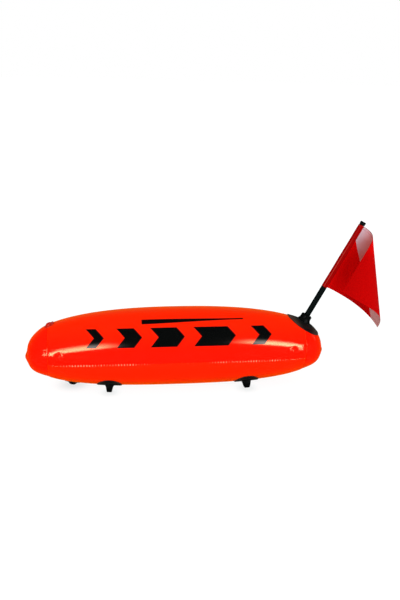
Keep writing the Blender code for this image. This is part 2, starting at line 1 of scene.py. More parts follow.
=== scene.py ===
"""An inflatable torpedo float with its flag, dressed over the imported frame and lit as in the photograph.

The bow points along -X and the mast stands at the stern. Port, the near side, is -Y. Metres, +Z up.
"""

import math

import bpy
import numpy as np
from mathutils import Matrix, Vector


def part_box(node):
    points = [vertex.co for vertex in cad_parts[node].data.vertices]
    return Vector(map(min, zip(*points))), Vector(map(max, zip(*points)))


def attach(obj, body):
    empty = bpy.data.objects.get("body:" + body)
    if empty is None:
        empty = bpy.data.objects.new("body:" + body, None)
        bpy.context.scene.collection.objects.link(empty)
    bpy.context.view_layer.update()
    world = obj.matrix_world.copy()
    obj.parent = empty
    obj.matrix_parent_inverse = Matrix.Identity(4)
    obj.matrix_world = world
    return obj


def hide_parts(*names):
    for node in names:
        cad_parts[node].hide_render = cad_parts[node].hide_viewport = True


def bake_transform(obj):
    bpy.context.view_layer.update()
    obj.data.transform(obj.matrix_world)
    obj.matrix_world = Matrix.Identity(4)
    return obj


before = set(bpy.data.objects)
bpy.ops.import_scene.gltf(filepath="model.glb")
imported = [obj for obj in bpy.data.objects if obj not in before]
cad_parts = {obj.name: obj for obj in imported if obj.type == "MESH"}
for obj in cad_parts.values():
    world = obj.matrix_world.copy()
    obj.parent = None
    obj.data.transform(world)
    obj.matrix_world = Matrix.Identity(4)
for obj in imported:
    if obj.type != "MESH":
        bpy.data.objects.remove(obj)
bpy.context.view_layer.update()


# Hull panels
# Two long panels of 0.6 mm PVC sheet, cut flat and inflated. The upper one laps the lower one along
# each side in a high-frequency weld, and both pass under the end caps, which pucker them a little.

# Stations are measured along the hull from its middle, and angles round it from the keel towards port.
HULL_LENGTH = 0.802
HULL_DIAMETER = 0.2116
HULL_DROOP = 0.0085
END_SAG = 0.0060
SAG_START = 0.352
NOSE = 0.0055
NOSE_WIDTH = 0.020
NOSE_HEIGHT = 0.010
NOSE_DROP = 0.006
NOSE_RIDGES = 9
END_POWER = 2.45
SIDE_POWER = 2.86
SKIN = 0.0006
CLEARANCE = 0.0003
WELD_LAP = 0.010
SEAM_ANGLE = math.radians(83.6)
SEAM_DIP = math.radians(12)
CAP_DEPTH = 0.057
HALF = HULL_LENGTH / 2
CAP_RIM = HALF - CAP_DEPTH
LUG_STATION = 0.185
LUG_ANGLE = math.radians(32)
TOW_STATION = -0.2824
MAST_STATION = 0.350
VALVE_STATION = -0.341
LUG_PATCH = 0.033
TOW_PATCH = 0.028
MAST_PATCH = 0.0485
VALVE_FLANGE = 0.0140
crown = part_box("hull_panel_upper")[1].z
bow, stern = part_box("end_cap_bow")[0].x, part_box("end_cap_stern")[1].x
MIDDLE = np.array(((bow + stern) / 2, 0, crown - HULL_DIAMETER / 2))


def step(low, high, value):
    """0 below low and 1 above high, with a smooth cubic between them."""
    share = np.clip((value - low) / (high - low), 0, 1)
    return share**2 * (3 - 2 * share)


def ring_radius(x):
    """Radius of the hull's ring at station x: a superellipse, full along the middle and blunt at the ends."""
    share = np.clip(np.abs(x / HALF), 0, 1)
    return HULL_DIAMETER / 2 * (1 - share**END_POWER) ** (1 / SIDE_POWER)


def ring_drop(x):
    """How far a ring's centre hangs below the middle one: a parabola, and near the tips a smooth sag more."""
    return HULL_DROOP * (x / HALF) ** 2 + END_SAG * step(SAG_START, HALF, np.abs(x))


def skin_normal(x, angle):
    """Outward normal of the skin: the ring's own direction, tipped fore or aft by the radius' slope and the droop's.

    It stops just short of the pole, where the slope has no end. The small sag of the tips is left out.
    """
    x, angle = np.broadcast_arrays(x, angle)
    share = np.clip(np.abs(x / HALF), 0, 0.9999999)
    slope = -END_POWER / SIDE_POWER * share ** (END_POWER - 1) / (1 - share**END_POWER)
    slope = np.sign(x) * slope * ring_radius(HALF * share) / HALF
    fall = -2 * HULL_DROOP * x / HALF**2
    normal = np.stack((fall * np.cos(angle) - slope, -np.sin(angle), -np.cos(angle)), axis=-1)
    return normal / np.linalg.norm(normal, axis=-1, keepdims=True)


def distance_to(x, angle, station, place):
    """Distance along the skin from a spot at a station and an angle from the keel."""
    turn = (angle - place + math.pi) % (2 * math.pi) - math.pi
    return np.hypot(x - station, ring_radius(x) * turn)


def seam_angle(x):
    """Angle of the side seam from the keel, level along the middle and dipping to the ends by a fourth power."""
    return SEAM_ANGLE - SEAM_DIP * (x / HALF) ** 4


GATHER = 0.0007
GATHER_WAVES = ((17, 2.1, 1.0), (29, -1.3, 0.8), (43, 1.0, 0.5))  # Number round the ring, phase, weight.
BAND_SINK = 0.0006
SEAM_SINK = 0.0003
RIPPLE = 0.00028
RIPPLE_PITCH = 0.0187
SOFT_BELOW = 2.5
DENTS = (  # Station, degrees from the keel, length along the hull, degrees round it, depth.
    (-0.3140, 99, 0.0075, 5.0, 0.0012),
    (-0.3560, 104, 0.0070, 4.0, 0.0002),
    (0.3060, 100, 0.0080, 4.5, 0.0012),
    (0.3540, 104, 0.0070, 3.0, 0.0003),
    (-0.3270, 128, 0.0110, 4.0, 0.0008),
    (0.3230, 128, 0.0120, 4.0, 0.0008),
    (-0.3960, 84, 0.0040, 9.0, 0.0009),
    (0.3960, 88, 0.0040, 9.0, 0.0009),
)
WELDED_ON = (  # Station, angle and radius of each patch, which holds the sheet smooth.
    (MAST_STATION, math.pi, MAST_PATCH), (VALVE_STATION, math.pi, VALVE_FLANGE), (TOW_STATION, 0, TOW_PATCH),
    (-LUG_STATION, LUG_ANGLE, LUG_PATCH), (-LUG_STATION, -LUG_ANGLE, LUG_PATCH),
    (LUG_STATION, LUG_ANGLE, LUG_PATCH), (LUG_STATION, -LUG_ANGLE, LUG_PATCH),
)


def pucker(x, angle):
    """How far the sheet stands off its smooth shape, by its gathers, dents and ripples.

    Gathers cross the cap seams: a sum of cosines of the angle, cubed so that the valleys are narrow.
    The welded band and the side seams are drawn in a little, dents are bell curves that fade more
    slowly on their lower side, and ripples are a cosine along the side seams whose pitch wanders.
    """
    past = np.abs(x) - CAP_RIM
    near = np.exp(-((past / np.where(past > 0, 0.017, 0.026)) ** 2))
    wave = sum(weight * np.cos(count * angle + phase * np.sign(x)) for count, phase, weight in GATHER_WAVES)
    most = sum(weight for _, _, weight in GATHER_WAVES)
    lift = -GATHER * near * (0.5 + wave / (2 * most)) ** 3 * np.where(past > 0, 1, 0.5)
    lift -= BAND_SINK * np.exp(-(((past - 0.004) / 0.007) ** 2))
    turn = np.abs((angle + math.pi) % (2 * math.pi) - math.pi)
    for station, place, length, width, depth in DENTS:
        round_it = turn - math.radians(place)
        spread = math.radians(width) * np.where(round_it < 0, SOFT_BELOW, 1)
        lift -= depth * np.exp(-(((x - station) / length) ** 2) - (round_it / spread) ** 2)
    off = ring_radius(x) * (turn - seam_angle(x))
    pitch = np.cos(2 * math.pi * x / RIPPLE_PITCH + 2.2 * np.sin(x / 0.021) + 1.4 * np.sin(x / 0.047))
    swell = 0.45 + 0.35 * np.sin(x / 0.036 + 1) + 0.2 * np.sin(x / 0.0113)
    before_cap = 1 - step(-0.01, 0.01, past)
    lift += RIPPLE * pitch * swell * np.exp(-((off / 0.0085) ** 2)) * before_cap
    lift -= SEAM_SINK * np.exp(-((off / 0.0050) ** 2)) * before_cap
    for station, place, reach in WELDED_ON:
        lift *= step(reach + 0.001, reach + 0.016, distance_to(x, angle, station, place))
    return lift


def on_skin(x, angle, out=0.0):
    """Points of the skin at stations x and angles from the keel, out along the normal.

    A ring is a circle of ring_radius about a centre that hangs towards the ends. At the tips the
    gathered sheet stands out in a low ridged nose, an exponential bump round a point below the pole.
    """
    x, angle = np.broadcast_arrays(x, angle)
    radius = ring_radius(x)
    y, z = -radius * np.sin(angle), -radius * np.cos(angle)
    off_nose = np.hypot(y / NOSE_WIDTH, (z + NOSE_DROP) / NOSE_HEIGHT)
    ridges = 1 + 0.16 * np.cos(NOSE_RIDGES * angle + 1.0) * np.clip(off_nose, 0, 1)
    nose = np.where(np.abs(x) > SAG_START, NOSE * np.exp(-(off_nose**2)) * ridges, 0)
    smooth = np.stack((x + np.sign(x) * nose, y, z - ring_drop(x)), axis=-1)
    return MIDDLE + smooth + (out + pucker(x, angle))[..., None] * skin_normal(x, angle)


def paired(*parts):
    """Arrays broadcast to one grid and stacked as the coordinates of its points."""
    return np.stack(np.broadcast_arrays(*parts), axis=-1)


SHARP = math.radians(42)


def grid_mesh(name, points, uv, kept=None, **marks):
    """A mesh over a grid of points. Points that fall together become one, which closes rings and poles.

    uv holds the grid's own coordinates, kept says which of its faces stay, and each mark becomes an
    attribute with one number for each point.
    """
    rows, columns = points.shape[:2]
    index = np.arange(rows * columns).reshape(rows, columns)
    faces = np.stack((index[:-1, :-1], index[1:, :-1], index[1:, 1:], index[:-1, 1:]), axis=-1).reshape(-1, 4)
    if kept is not None:
        faces = faces[kept.reshape(-1)]
    flat = points.reshape(-1, 3)
    _, first, back = np.unique(np.round(flat, 7), axis=0, return_index=True, return_inverse=True)
    back = back.reshape(-1)
    corner = back[faces] != np.roll(back[faces], -1, axis=1)
    count = corner.sum(axis=1)
    quads, threes = faces[count == 4], faces[count == 3][corner[count == 3]].reshape(-1, 3)
    spots = np.concatenate((quads.ravel(), threes.ravel()))
    used = np.unique(back[spots])
    place = np.zeros(len(first), int)
    place[used] = np.arange(len(used))
    mesh = bpy.data.meshes.new(name)
    mesh.from_pydata(flat[first][used], [], place[back[quads]].tolist() + place[back[threes]].tolist())
    layer = mesh.uv_layers.new(name="UVMap")
    layer.data.foreach_set("uv", uv.reshape(-1, 2)[spots].astype(np.float32).ravel())
    for mark, values in marks.items():
        attribute = mesh.attributes.new(mark, "FLOAT", "POINT")
        attribute.data.foreach_set("value", values.reshape(-1)[first][used].astype(np.float32))
    mesh.shade_smooth()
    mesh.set_sharp_from_angle(angle=SHARP)
    return mesh


def linked(name, data):
    """A new object with this data, in the scene."""
    made = bpy.data.objects.new(name, data)
    bpy.context.scene.collection.objects.link(made)
    return made


def piece(name, mesh, finish, body, node):
    """Puts a mesh in the scene as a piece that rides on a body and stands for a CAD node."""
    made = linked(name, mesh)
    made.data.materials.append(finish)
    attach(made, body)
    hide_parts(node)
    return made


def wall(made, thickness, offset=-1):
    """Gives a skin its thickness: inwards at -1, both ways at 0."""
    solid = made.modifiers.new("wall", "SOLIDIFY")
    solid.thickness = thickness
    solid.offset = offset


class Wire:
    """A socket in a finish. Operators on wires and numbers add the Math nodes that work them out."""

    def __init__(self, tree, socket=None):
        self.tree = tree
        self.socket = socket

    def node(self, kind, settings=None, sockets=None, output=0):
        """Adds a node of any kind: its settings are set first, then the values or links of its sockets."""
        made = self.tree.nodes.new(kind)
        for name, value in (settings or {}).items():
            setattr(made, name, value)
        for name, value in (sockets or {}).items():
            if isinstance(value, Wire):
                self.tree.links.new(value.socket, made.inputs[name])
            else:
                made.inputs[name].default_value = value
        return Wire(self.tree, made.outputs[output])

    def maths(self, operation, *values):
        return self.node("ShaderNodeMath", {"operation": operation}, dict(enumerate(values)))

    def __add__(self, other):
        return self.maths("ADD", self, other)

    def __sub__(self, other):
        return self.maths("SUBTRACT", self, other)

    def __rsub__(self, other):
        return self.maths("SUBTRACT", other, self)

    def __mul__(self, other):
        return self.maths("MULTIPLY", self, other)

    def __abs__(self):
        return self.maths("ABSOLUTE", self)

    __radd__ = __add__
    __rmul__ = __mul__

    def most(self, other):
        return self.maths("MAXIMUM", self, other)

    def least(self, other):
        return self.maths("MINIMUM", self, other)

    def hypot(self, other):
        """The length of a vector whose two parts are this value and the other."""
        return self.maths("SQRT", self * self + other * other)

    def wave(self, pitch):
        """A sine of this length, from 0 to 1."""
        return self.maths("SINE", self * (2 * math.pi / pitch)) * 0.5 + 0.5

    def ramp(self, low, high, start=0.0, end=1.0):
        """Start below low and end above high, with a smooth step between them."""
        return self.node(
            "ShaderNodeMapRange", {"interpolation_type": "SMOOTHSTEP"},
            {"Value": self, "From Min": low, "From Max": high, "To Min": start, "To Max": end},
        )

    def under(self, edge, soft):
        """A mask that is 1 where this value is below an edge."""
        return self.ramp(edge - soft, edge + soft, 1.0, 0.0)

    def noise(self, scale, detail=2.0):
        """Noise from 0 to 1 on these coordinates, with so many swells to the metre."""
        return self.node("ShaderNodeTexNoise", {}, {"Vector": self, "Scale": scale, "Detail": detail})

    def tint(self, colour, other):
        """The first colour where this mask is 0, and the other where it is 1."""
        return self.node("ShaderNodeMix", {"data_type": "RGBA"}, {0: self, 6: colour, 7: other}, 2)

    def split(self):
        """The three coordinates of a vector."""
        parts = self.node("ShaderNodeSeparateXYZ", {}, {0: self}).socket.node.outputs
        return [Wire(self.tree, part) for part in parts]


class Finish(Wire):
    """A material on one Principled shader, whose constants are set on the shader's own sockets."""

    def __init__(self, name, constants):
        self.material = bpy.data.materials.new(name)
        self.material.use_nodes = True
        super().__init__(self.material.node_tree)
        self.shader = self.tree.nodes["Principled BSDF"]
        for socket, value in constants.items():
            self.shader.inputs[socket].default_value = value

    def feed(self, socket, wire):
        self.tree.links.new(wire.socket, self.shader.inputs[socket])

    def place(self):
        return self.node("ShaderNodeTexCoord", {}, {}, "Object")

    def chart(self):
        return self.node("ShaderNodeUVMap", {"uv_map": "UVMap"})

    def mark(self, name):
        return self.node("ShaderNodeAttribute", {"attribute_name": name}, {}, "Fac")

    def relief(self, height, depth):
        """Feeds a height map, in which 1 stands depth metres high, to the shader's normal."""
        bumped = self.node("ShaderNodeBump", {}, {"Strength": 1.0, "Distance": depth, "Height": height})
        self.feed("Normal", bumped)
        return bumped

    def over(self, mask, constants):
        """Lays a second shader over the first where a mask is 1."""
        first = Wire(self.tree, self.shader.outputs["BSDF"])
        second = self.node("ShaderNodeBsdfPrincipled", {}, constants)
        mixed = self.node("ShaderNodeMixShader", {}, {0: mask, 1: first, 2: second})
        self.tree.links.new(mixed.socket, self.tree.nodes["Material Output"].inputs["Surface"])


# Paler and deeper red of the sheet; on the upper panel the shift between them is a painted sheen.
VINYL_RED = (1.0, 0.0125, 0.0, 1)
VINYL_DEEP = (1.0, 0.0030, 0.0, 1)
INK = (0.0018, 0.0022, 0.0022, 1)
PAINTED_GLINT = (1.0, 0.33, 0.19, 1)
PRINT_HALF = 0.2440
ROW_HEIGHT = 0.0600
ROW_HALF = 0.0262
CHEVRON_LEAN = 0.80
CHEVRON_START = -0.251
CHEVRON_RATE = 13.0  # Chevrons to the metre at the start, and their number's bend along the hull.
CHEVRON_BEND = -8.5
BAR_MIDDLE = 0.035
BAR_HALF = 0.1350
BAR_HEIGHT = 0.1070
BAR_SLOPE = 0.020


def chevrons_and_bar(along, up):
    """The printed design: a row of chevrons whose pitch grows along the hull, and a long tapered bar over it.

    Chevrons are the cells of a count that grows by a parabola along the hull, leaned by the height
    off the row's middle line. The bar is a band about a sloping line, whose half width tapers.
    """
    row = abs(up - ROW_HEIGHT)
    lean = along + CHEVRON_LEAN * row
    past = lean - CHEVRON_START
    count = past * CHEVRON_RATE + past * past * CHEVRON_BEND
    cell = abs(count.maths("FRACT", count) - 0.5)
    bold = lean.ramp(-0.24, -0.02, 0.30, 0.64) * 0.5
    inside = row.under(ROW_HALF, 0.0004) * abs(lean).under(PRINT_HALF, 0.0003)
    chevrons = (bold - cell).ramp(-0.012, 0.012) * inside
    half_width = along.ramp(-0.10, 0.17, 0.0078, 0.0022)
    bar = (half_width - abs(up - BAR_HEIGHT - along * BAR_SLOPE)).ramp(-0.0003, 0.0003)
    return chevrons.most(bar * abs(along - BAR_MIDDLE).under(BAR_HALF, 0.0004))


GLINT_PITCH = 0.0074
GLINT_HALF = 0.0021
RIB_PITCH = 0.0013
GRAIN = 0.00022


def float_vinyl(name, printed):
    """Glossy orange-red PVC sheet, with ribs in its welds and, on the upper panel, the print.

    The red is painted deeper in a band above each side seam and on the caps, and paler and more
    orange towards the crown, a painted sheen; the lower panel keeps the paler red. Along the side
    seams the sheet stands in a row of small swells, and their tops are painted paler, as painted
    glints. The chart runs along the hull (u, metres) and up round it from the equator (v, metres).
    """
    vinyl = Finish(name, {
        "IOR": 1.8, "Specular IOR Level": 0.7, "Specular Tint": (1.0, 0.73, 0.37, 1),
        "Sheen Weight": 1.0, "Sheen Roughness": 0.34, "Sheen Tint": (1.0, 0.20, 0.0, 1),
    })
    place = vinyl.place()
    off, (along, up, _) = vinyl.mark("off"), vinyl.chart().split()
    swell = (along + 0.0008 * place.noise(60.0)).wave(GLINT_PITCH)
    beside = abs(off).under(GLINT_HALF, 0.9 * GLINT_HALF)
    gather = swell * beside * place.noise(23.0).ramp(0.35, 0.6, 0.35, 1.0)
    reached = abs(along).ramp(0.06, 0.14) * abs(along).ramp(0.27, 0.32, 1.0, 0.0)
    # Painted glints: the swells' tops along the side seams are painted paler, over a stretch of each side.
    drawn = swell.ramp(0.55, 0.95) * beside * place.noise(31.0).ramp(0.42, 0.62, 0.12, 1.0) * reached
    # Painted sheen: deeper red in a band above each side seam and on the caps, paler and more orange towards the crown.
    sheet = (0.86 * vinyl.mark("taut") + 0.14 * place.noise(9.0, 3.0)).tint(VINYL_RED, VINYL_DEEP)
    vinyl.feed("Base Color", drawn.tint(sheet, PAINTED_GLINT))
    rough = 0.075 + 0.04 * place.noise(35.0, 4.0)
    vinyl.feed("Roughness", rough)
    ribs = vinyl.mark("rib").wave(RIB_PITCH) * vinyl.mark("weld")
    bumped = vinyl.relief(0.06 * ribs + 0.02 * place.noise(900.0) + 0.12 * place.noise(55.0) + 2.0 * gather, GRAIN)
    if printed:
        vinyl.over(chevrons_and_bar(along, up), {
            "Base Color": INK, "Roughness": rough + 0.04, "IOR": 1.6, "Specular IOR Level": 0.4,
            "Specular Tint": (1.0, 0.92, 0.86, 1), "Normal": bumped,
        })
    return vinyl.material


def spaced(*parts):
    """Joins runs of numbers, each given as (start, end, count), into one rising row."""
    runs = [np.linspace(start, end, count, endpoint=False) for start, end, count in parts]
    return np.concatenate(runs + [np.array((parts[-1][1],))])


REACH = CAP_RIM + WELD_LAP
OUT_OF_CAP = CAP_RIM - 0.0016
UNDER_CAP = CAP_RIM + 0.0009
stations = spaced(
    (-REACH, -UNDER_CAP, 5), (-UNDER_CAP, -OUT_OF_CAP, 6), (-OUT_OF_CAP, -0.28, 36), (-0.28, 0.28, 210),
    (0.28, OUT_OF_CAP, 34), (OUT_OF_CAP, UNDER_CAP, 6), (UNDER_CAP, REACH, 5),
)[:, None]
tucked = (SKIN + CLEARANCE) * step(OUT_OF_CAP, CAP_RIM - 0.0002, np.abs(stations))


def opened(x, angle, spots):
    """Which faces of a grid stay, where round holes are left, each given as a station and a radius."""
    middle_x = (x[:-1, :-1] + x[1:, 1:]) / 2
    middle_angle = (angle[:-1, :-1] + angle[1:, 1:]) / 2
    stay = np.ones(middle_x.shape, bool)
    for station, reach in spots:
        stay &= distance_to(middle_x, middle_angle, station, math.pi) > reach
    return stay


GROOVE = 0.0007
RIM_EASE = 0.0009
RIM_TUCK = 0.00025
LAP_SHARE = 1.13


def hull_panel(name, shares, lower, node, spots):
    """One long panel. Its angle runs from seam to seam by shares, and a lower one dips under the lap.

    Shares past 1 lie under the lap: the panel sinks by its skin and the clearance up to LAP_SHARE.
    """
    seam = seam_angle(stations)
    lap, groove = WELD_LAP / ring_radius(stations), GROOVE / ring_radius(stations)
    if lower:
        free = seam - groove
        edge = np.sign(shares) * (free + (np.abs(shares) - 1) * (lap + groove))
        angle = np.where(np.abs(shares) > 1, edge, free * shares)
        dip = (SKIN + CLEARANCE) * step(1.0, LAP_SHARE, np.abs(shares)) + 0 * angle
    else:
        angle = math.pi + (math.pi - seam) * shares
        from_edge = ring_radius(stations) * (math.pi - seam) * (1 - np.abs(shares))
        dip = RIM_TUCK * step(0, RIM_EASE, RIM_EASE - from_edge)
    x = stations + 0 * angle
    points = on_skin(x, angle, -tucked - dip)
    turn = np.where(angle > math.pi, 2 * math.pi - angle, np.abs(angle))
    height = ring_radius(x) * (turn - math.pi / 2)
    over = ring_radius(x) * (turn - seam)
    weld = step(0.0004, 0.0012, over) * (1 - step(WELD_LAP - 0.001, WELD_LAP, over)) if not lower else 0 * x
    # Painted sheen: 1 in a band above the side seam, falling to 0 towards the crown, where the red is painted paler.
    taut = 0 * x if lower else 1 - step(0.01, 0.10, height)
    chart = paired(x, height)
    mesh = grid_mesh(name, points, chart, opened(x, angle, spots), weld=weld, rib=x, off=over, taut=taut)
    skin_piece(mesh, name, not lower, node)


def skin_piece(mesh, name, printed, node):
    """A piece of the hull's sheet, with its own vinyl and the sheet's thickness."""
    made = piece(name, mesh, float_vinyl(name + "_vinyl", printed), "hull", node)
    wall(made, SKIN)


HOLES = ((MAST_STATION, 0.0140), (VALVE_STATION, 0.0113))  # Round the socket's cup and the valve's skirt.
upper_shares = spaced((-1, -0.99, 5), (-0.99, -0.93, 8), (-0.93, 0.93, 108), (0.93, 0.99, 8), (0.99, 1, 5))[None, :]
lower_shares = spaced(
    (-2, -LAP_SHARE, 4), (-LAP_SHARE, -1, 5), (-1, -0.99, 4), (-0.99, -0.93, 7), (-0.93, 0.93, 84),
    (0.93, 0.99, 7), (0.99, 1, 4), (1, LAP_SHARE, 5), (LAP_SHARE, 2, 4),
)[None, :]
hull_panel("upper_panel", upper_shares, False, "hull_panel_upper", HOLES)
hull_panel("lower_panel", lower_shares, True, "hull_panel_lower", ())


# End caps
# Round caps of the same sheet, drawn over the panels' ends and welded in a band 10 mm wide. Air
# pressure gathers the sheet on both sides of that band.

def end_cap(name, side, node):
    """A cap: rings whose stations are a power of a sine, so that they crowd towards the tip and its pole is round."""
    at_reach = math.asin((REACH / HALF) ** (END_POWER / 2))
    turns = np.linspace(at_reach, math.pi / 2, 30)[1:]
    rings = np.concatenate((np.linspace(CAP_RIM, REACH, 12), HALF * np.sin(turns) ** (2 / END_POWER)))
    x = side * rings[:, None]
    angle = side * np.linspace(-math.pi, math.pi, 241)[None, :] + math.pi
    x, angle = np.broadcast_arrays(x, angle)
    past = np.abs(x) - CAP_RIM
    weld = step(0.0004, 0.0012, past) * (1 - step(WELD_LAP - 0.0012, WELD_LAP, past))
    rib = ring_radius(CAP_RIM) * angle
    points = on_skin(x, angle, -CLEARANCE * (1 - step(0, 2 * RIM_EASE, past)))
    whole = np.ones(x.shape)
    kept, chart = opened(x, angle, HOLES), paired(x, 0.1 * angle)
    mesh = grid_mesh(name, points, chart, kept, weld=weld, rib=rib, off=whole, taut=whole)
    skin_piece(mesh, name, False, node)


end_cap("bow_cap", -1, "end_cap_bow")
end_cap("stern_cap", 1, "end_cap_stern")


# Lugs and their patches
# Moulded black eyes with a thick, tapered root, each on a round patch of black PVC that is welded
# to the hull inside a pressed ring. Two pairs stand under the hull, and one nub under the bow.

PATCH = 0.0020
PATCH_EDGE = 0.0009
RING = 0.0052
RING_PRESS = 0.00045
LUG_HEIGHT = 0.0215
LUG_SPAN = 0.026
LUG_ROOT = 0.021
LUG_TIP = 0.013
LUG_BORE = 0.005
LUG_EYE = 0.010
TOW_HEIGHT = 0.0148
TOW_SPAN = 0.0246
TOW_BORE = 0.004
TOW_EYE = 0.008
NUB_ROOT = 0.018
NUB_TIP = 0.012
EYE_EDGE = 0.0014


def skin_frame(x, angle, lean=None):
    """Origin and axes on the skin: aft, across, and out along the normal or at a lean from upright."""
    origin = on_skin(np.float64(x), np.float64(angle))
    out = skin_normal(np.float64(x), np.float64(angle))
    if lean is not None:
        out = np.array((math.sin(lean), 0, math.cos(lean)))
    aft = np.array((1.0, 0, 0))
    aft = aft - aft @ out * out
    aft /= np.linalg.norm(aft)
    return origin, np.stack((aft, np.cross(out, aft), out))


def from_seat(seat, a, b, height):
    """Points given in a frame on the skin: aft, across and out."""
    origin, axes = seat
    return origin + paired(a, b, height) @ axes


def skin_height(seat, a, b):
    """How high the skin lies over points (a, b) of a frame's base plane, by repeated closing on it."""
    axes = seat[1]
    height = 0.0 * (a + b)
    for _ in range(12):
        p = from_seat(seat, a, b, height) - MIDDLE
        up = p[..., 2] + ring_drop(p[..., 0])
        far = np.hypot(p[..., 1], up)
        rise = (p[..., 1] * axes[2, 1] + up * axes[2, 2]) / far
        height = height - (far - ring_radius(p[..., 0])) / np.maximum(rise, 0.2)
    return height


def laid_on(x, angle, a, b, out):
    """A flat patch laid on the skin: a runs aft and b round, both measured along the skin."""
    station = x + 0 * a
    for _ in range(10):
        lean = skin_normal(station, angle)[..., 0]
        station = station + a / 10 * np.sqrt(1 - lean**2)
    return on_skin(station, angle + b / ring_radius(station), out)


def patch_mesh(name, x, angle, radius, bore=0.0):
    """A disc laid on the skin: round edge, a pressed weld ring inside it, and a bore where one is given.

    The mark fore grows with the distance fore or aft of the disc's middle, towards the edge; it places the patch's
    painted reflection.
    """
    bend = np.linspace(0.2, 1.57, 6)
    inside = radius - 2 * RING
    reach = np.concatenate((
        (bore, radius - 0.0006, radius), radius - PATCH_EDGE * (1 - np.cos(bend)),
        np.linspace(radius - 0.0012, inside, 22), np.linspace(inside, bore, 8)[1:], (bore,),
    ))
    out = np.concatenate((
        (0, 0, 0.0007), PATCH_EDGE + (PATCH - PATCH_EDGE) * np.sin(bend), np.full(22 + 7, PATCH), (0,),
    ))
    groove = np.exp(-(((reach - radius + RING) / 0.0014) ** 2)) * (out >= PATCH)
    out = CLEARANCE + out - RING_PRESS * groove
    turn = np.linspace(0, 2 * math.pi, 97)[:, None]
    points = laid_on(x, angle, reach * np.cos(turn), reach * np.sin(turn), out + 0 * turn)
    chart = paired(turn * radius, reach)
    return grid_mesh(name, points, chart, fore=np.abs(reach * np.cos(turn)) * reach / radius)


def patch_vinyl():
    """Black PVC sheet with a fine leather-like grain, painted paler and browner towards its fore and aft
    edges as a painted reflection, and rubbed duller in spots.
    """
    black = Finish("patch_black", {
        "IOR": 1.5, "Specular IOR Level": 0.25,
        "Sheen Weight": 0.03, "Sheen Roughness": 0.4, "Sheen Tint": (1.0, 0.85, 0.7, 1),
    })
    place = black.place()
    grain = place.node("ShaderNodeTexVoronoi", {"feature": "SMOOTH_F1"}, {"Vector": place, "Scale": 1100.0}, "Distance")
    dull = place.noise(60.0, 5.0)
    # Painted reflection: the black is painted paler and browner towards the patch's fore and aft edges.
    outer = black.mark("fore").ramp(0.006, 0.034)
    black_with_painted_sheen = outer.tint((0.002, 0.0034, 0.0034, 1), (0.052, 0.032, 0.022, 1))
    black.feed("Base Color", dull.ramp(0.4, 0.8, 0.0, 0.35).tint(black_with_painted_sheen, (0.016, 0.013, 0.011, 1)))
    black.feed("Roughness", 0.24 + 0.16 * dull)
    black.relief(0.7 * grain + 0.5 * place.noise(120.0), 0.00012)
    return black.material


def lug_plastic():
    """Glossy injection-moulded black plastic with faint flow marks and scuffed high spots."""
    black = Finish("lug_black", {"IOR": 1.5, "Specular IOR Level": 0.08})
    place = black.place()
    scuff = place.noise(260.0, 6.0).ramp(0.56, 0.72)
    black.feed("Base Color", scuff.tint((0.002, 0.0028, 0.0028, 1), (0.006, 0.007, 0.007, 1)))
    black.feed("Roughness", 0.26 + 0.22 * scuff + 0.08 * place.noise(40.0))
    black.relief(place.noise(500.0, 3.0), 0.00008)
    return black.material


patch_black, lug_black = patch_vinyl(), lug_plastic()
FOOT = PATCH + 2 * CLEARANCE
ROOT_SWELL = 0.0022
ROOT_RISE = 0.0016
NUB_CROWN = 0.0035


def eye_mesh(name, seat, outline, centre, bore, half_length, top):
    """A moulded eye whose bore runs fore and aft.

    For each point of the outline there is one of the bore in the same direction. A section runs
    between the two on one side, back on the other, and its edges are quarter circles. The sole
    follows the skin, and the root swells out over it.
    """
    from_centre = outline - (0, centre)
    distance = np.linalg.norm(from_centre, axis=1)[:, None]
    way = from_centre / distance
    corner = EYE_EDGE * (1 - np.cos(np.linspace(0, math.pi / 2, 7)))
    room = distance - bore
    inner, outer = bore + corner[None, :], distance - corner[None, ::-1]
    inner, outer = np.minimum(inner, bore + room / 2), np.maximum(outer, bore + room / 2)
    middle = bore + room * np.linspace(0.3, 0.7, 3)[None, :]
    reach = np.sort(np.concatenate((inner, middle, outer), axis=1), axis=1)
    across, up = way[:, :1] * reach, centre + way[:, 1:] * reach
    gap = np.clip(np.minimum(reach - bore, distance - reach), 0, EYE_EDGE)
    length = half_length(up) - EYE_EDGE + np.sqrt(np.clip(EYE_EDGE**2 - (EYE_EDGE - gap) ** 2, 0, None))
    root = ROOT_SWELL * np.exp(-np.clip(up - FOOT, 0, None) / ROOT_RISE) * (gap > 0.4 * EYE_EDGE)
    length = np.maximum(length, 0) + root
    both = np.concatenate((length, -length[:, ::-1], length[:, :1]), axis=1)
    across = np.concatenate((across, across[:, ::-1], across[:, :1]), axis=1)
    up = np.concatenate((up, up[:, ::-1], up[:, :1]), axis=1)
    settle = skin_height(seat, both, across) * np.clip(1 - (up - FOOT) / (top - FOOT), 0, 1)
    points = from_seat(seat, both, across, up + settle)
    points = np.concatenate((points, points[:1]))
    rows, columns = points.shape[:2]
    return grid_mesh(name, points, paired(np.linspace(0, 0.06, rows)[:, None], np.linspace(0, 0.04, columns)))


def arch_outline(span, top):
    """An arch on its foot, as a loop of (across, up): a flat sole, straight sides and a half circle."""
    sole = np.stack((np.linspace(-span / 2, span / 2, 13)[1:-1], np.full(11, FOOT)), axis=1)
    turn = np.linspace(0, math.pi, 41)
    over = np.stack((span / 2 * np.cos(turn), top - span / 2 + span / 2 * np.sin(turn)), axis=1)
    rise = np.linspace(FOOT, top - span / 2, 6)[:-1]
    right = np.stack((np.full(5, span / 2), rise), axis=1)
    return np.concatenate((sole, right, over, right[::-1] * (-1, 1)))


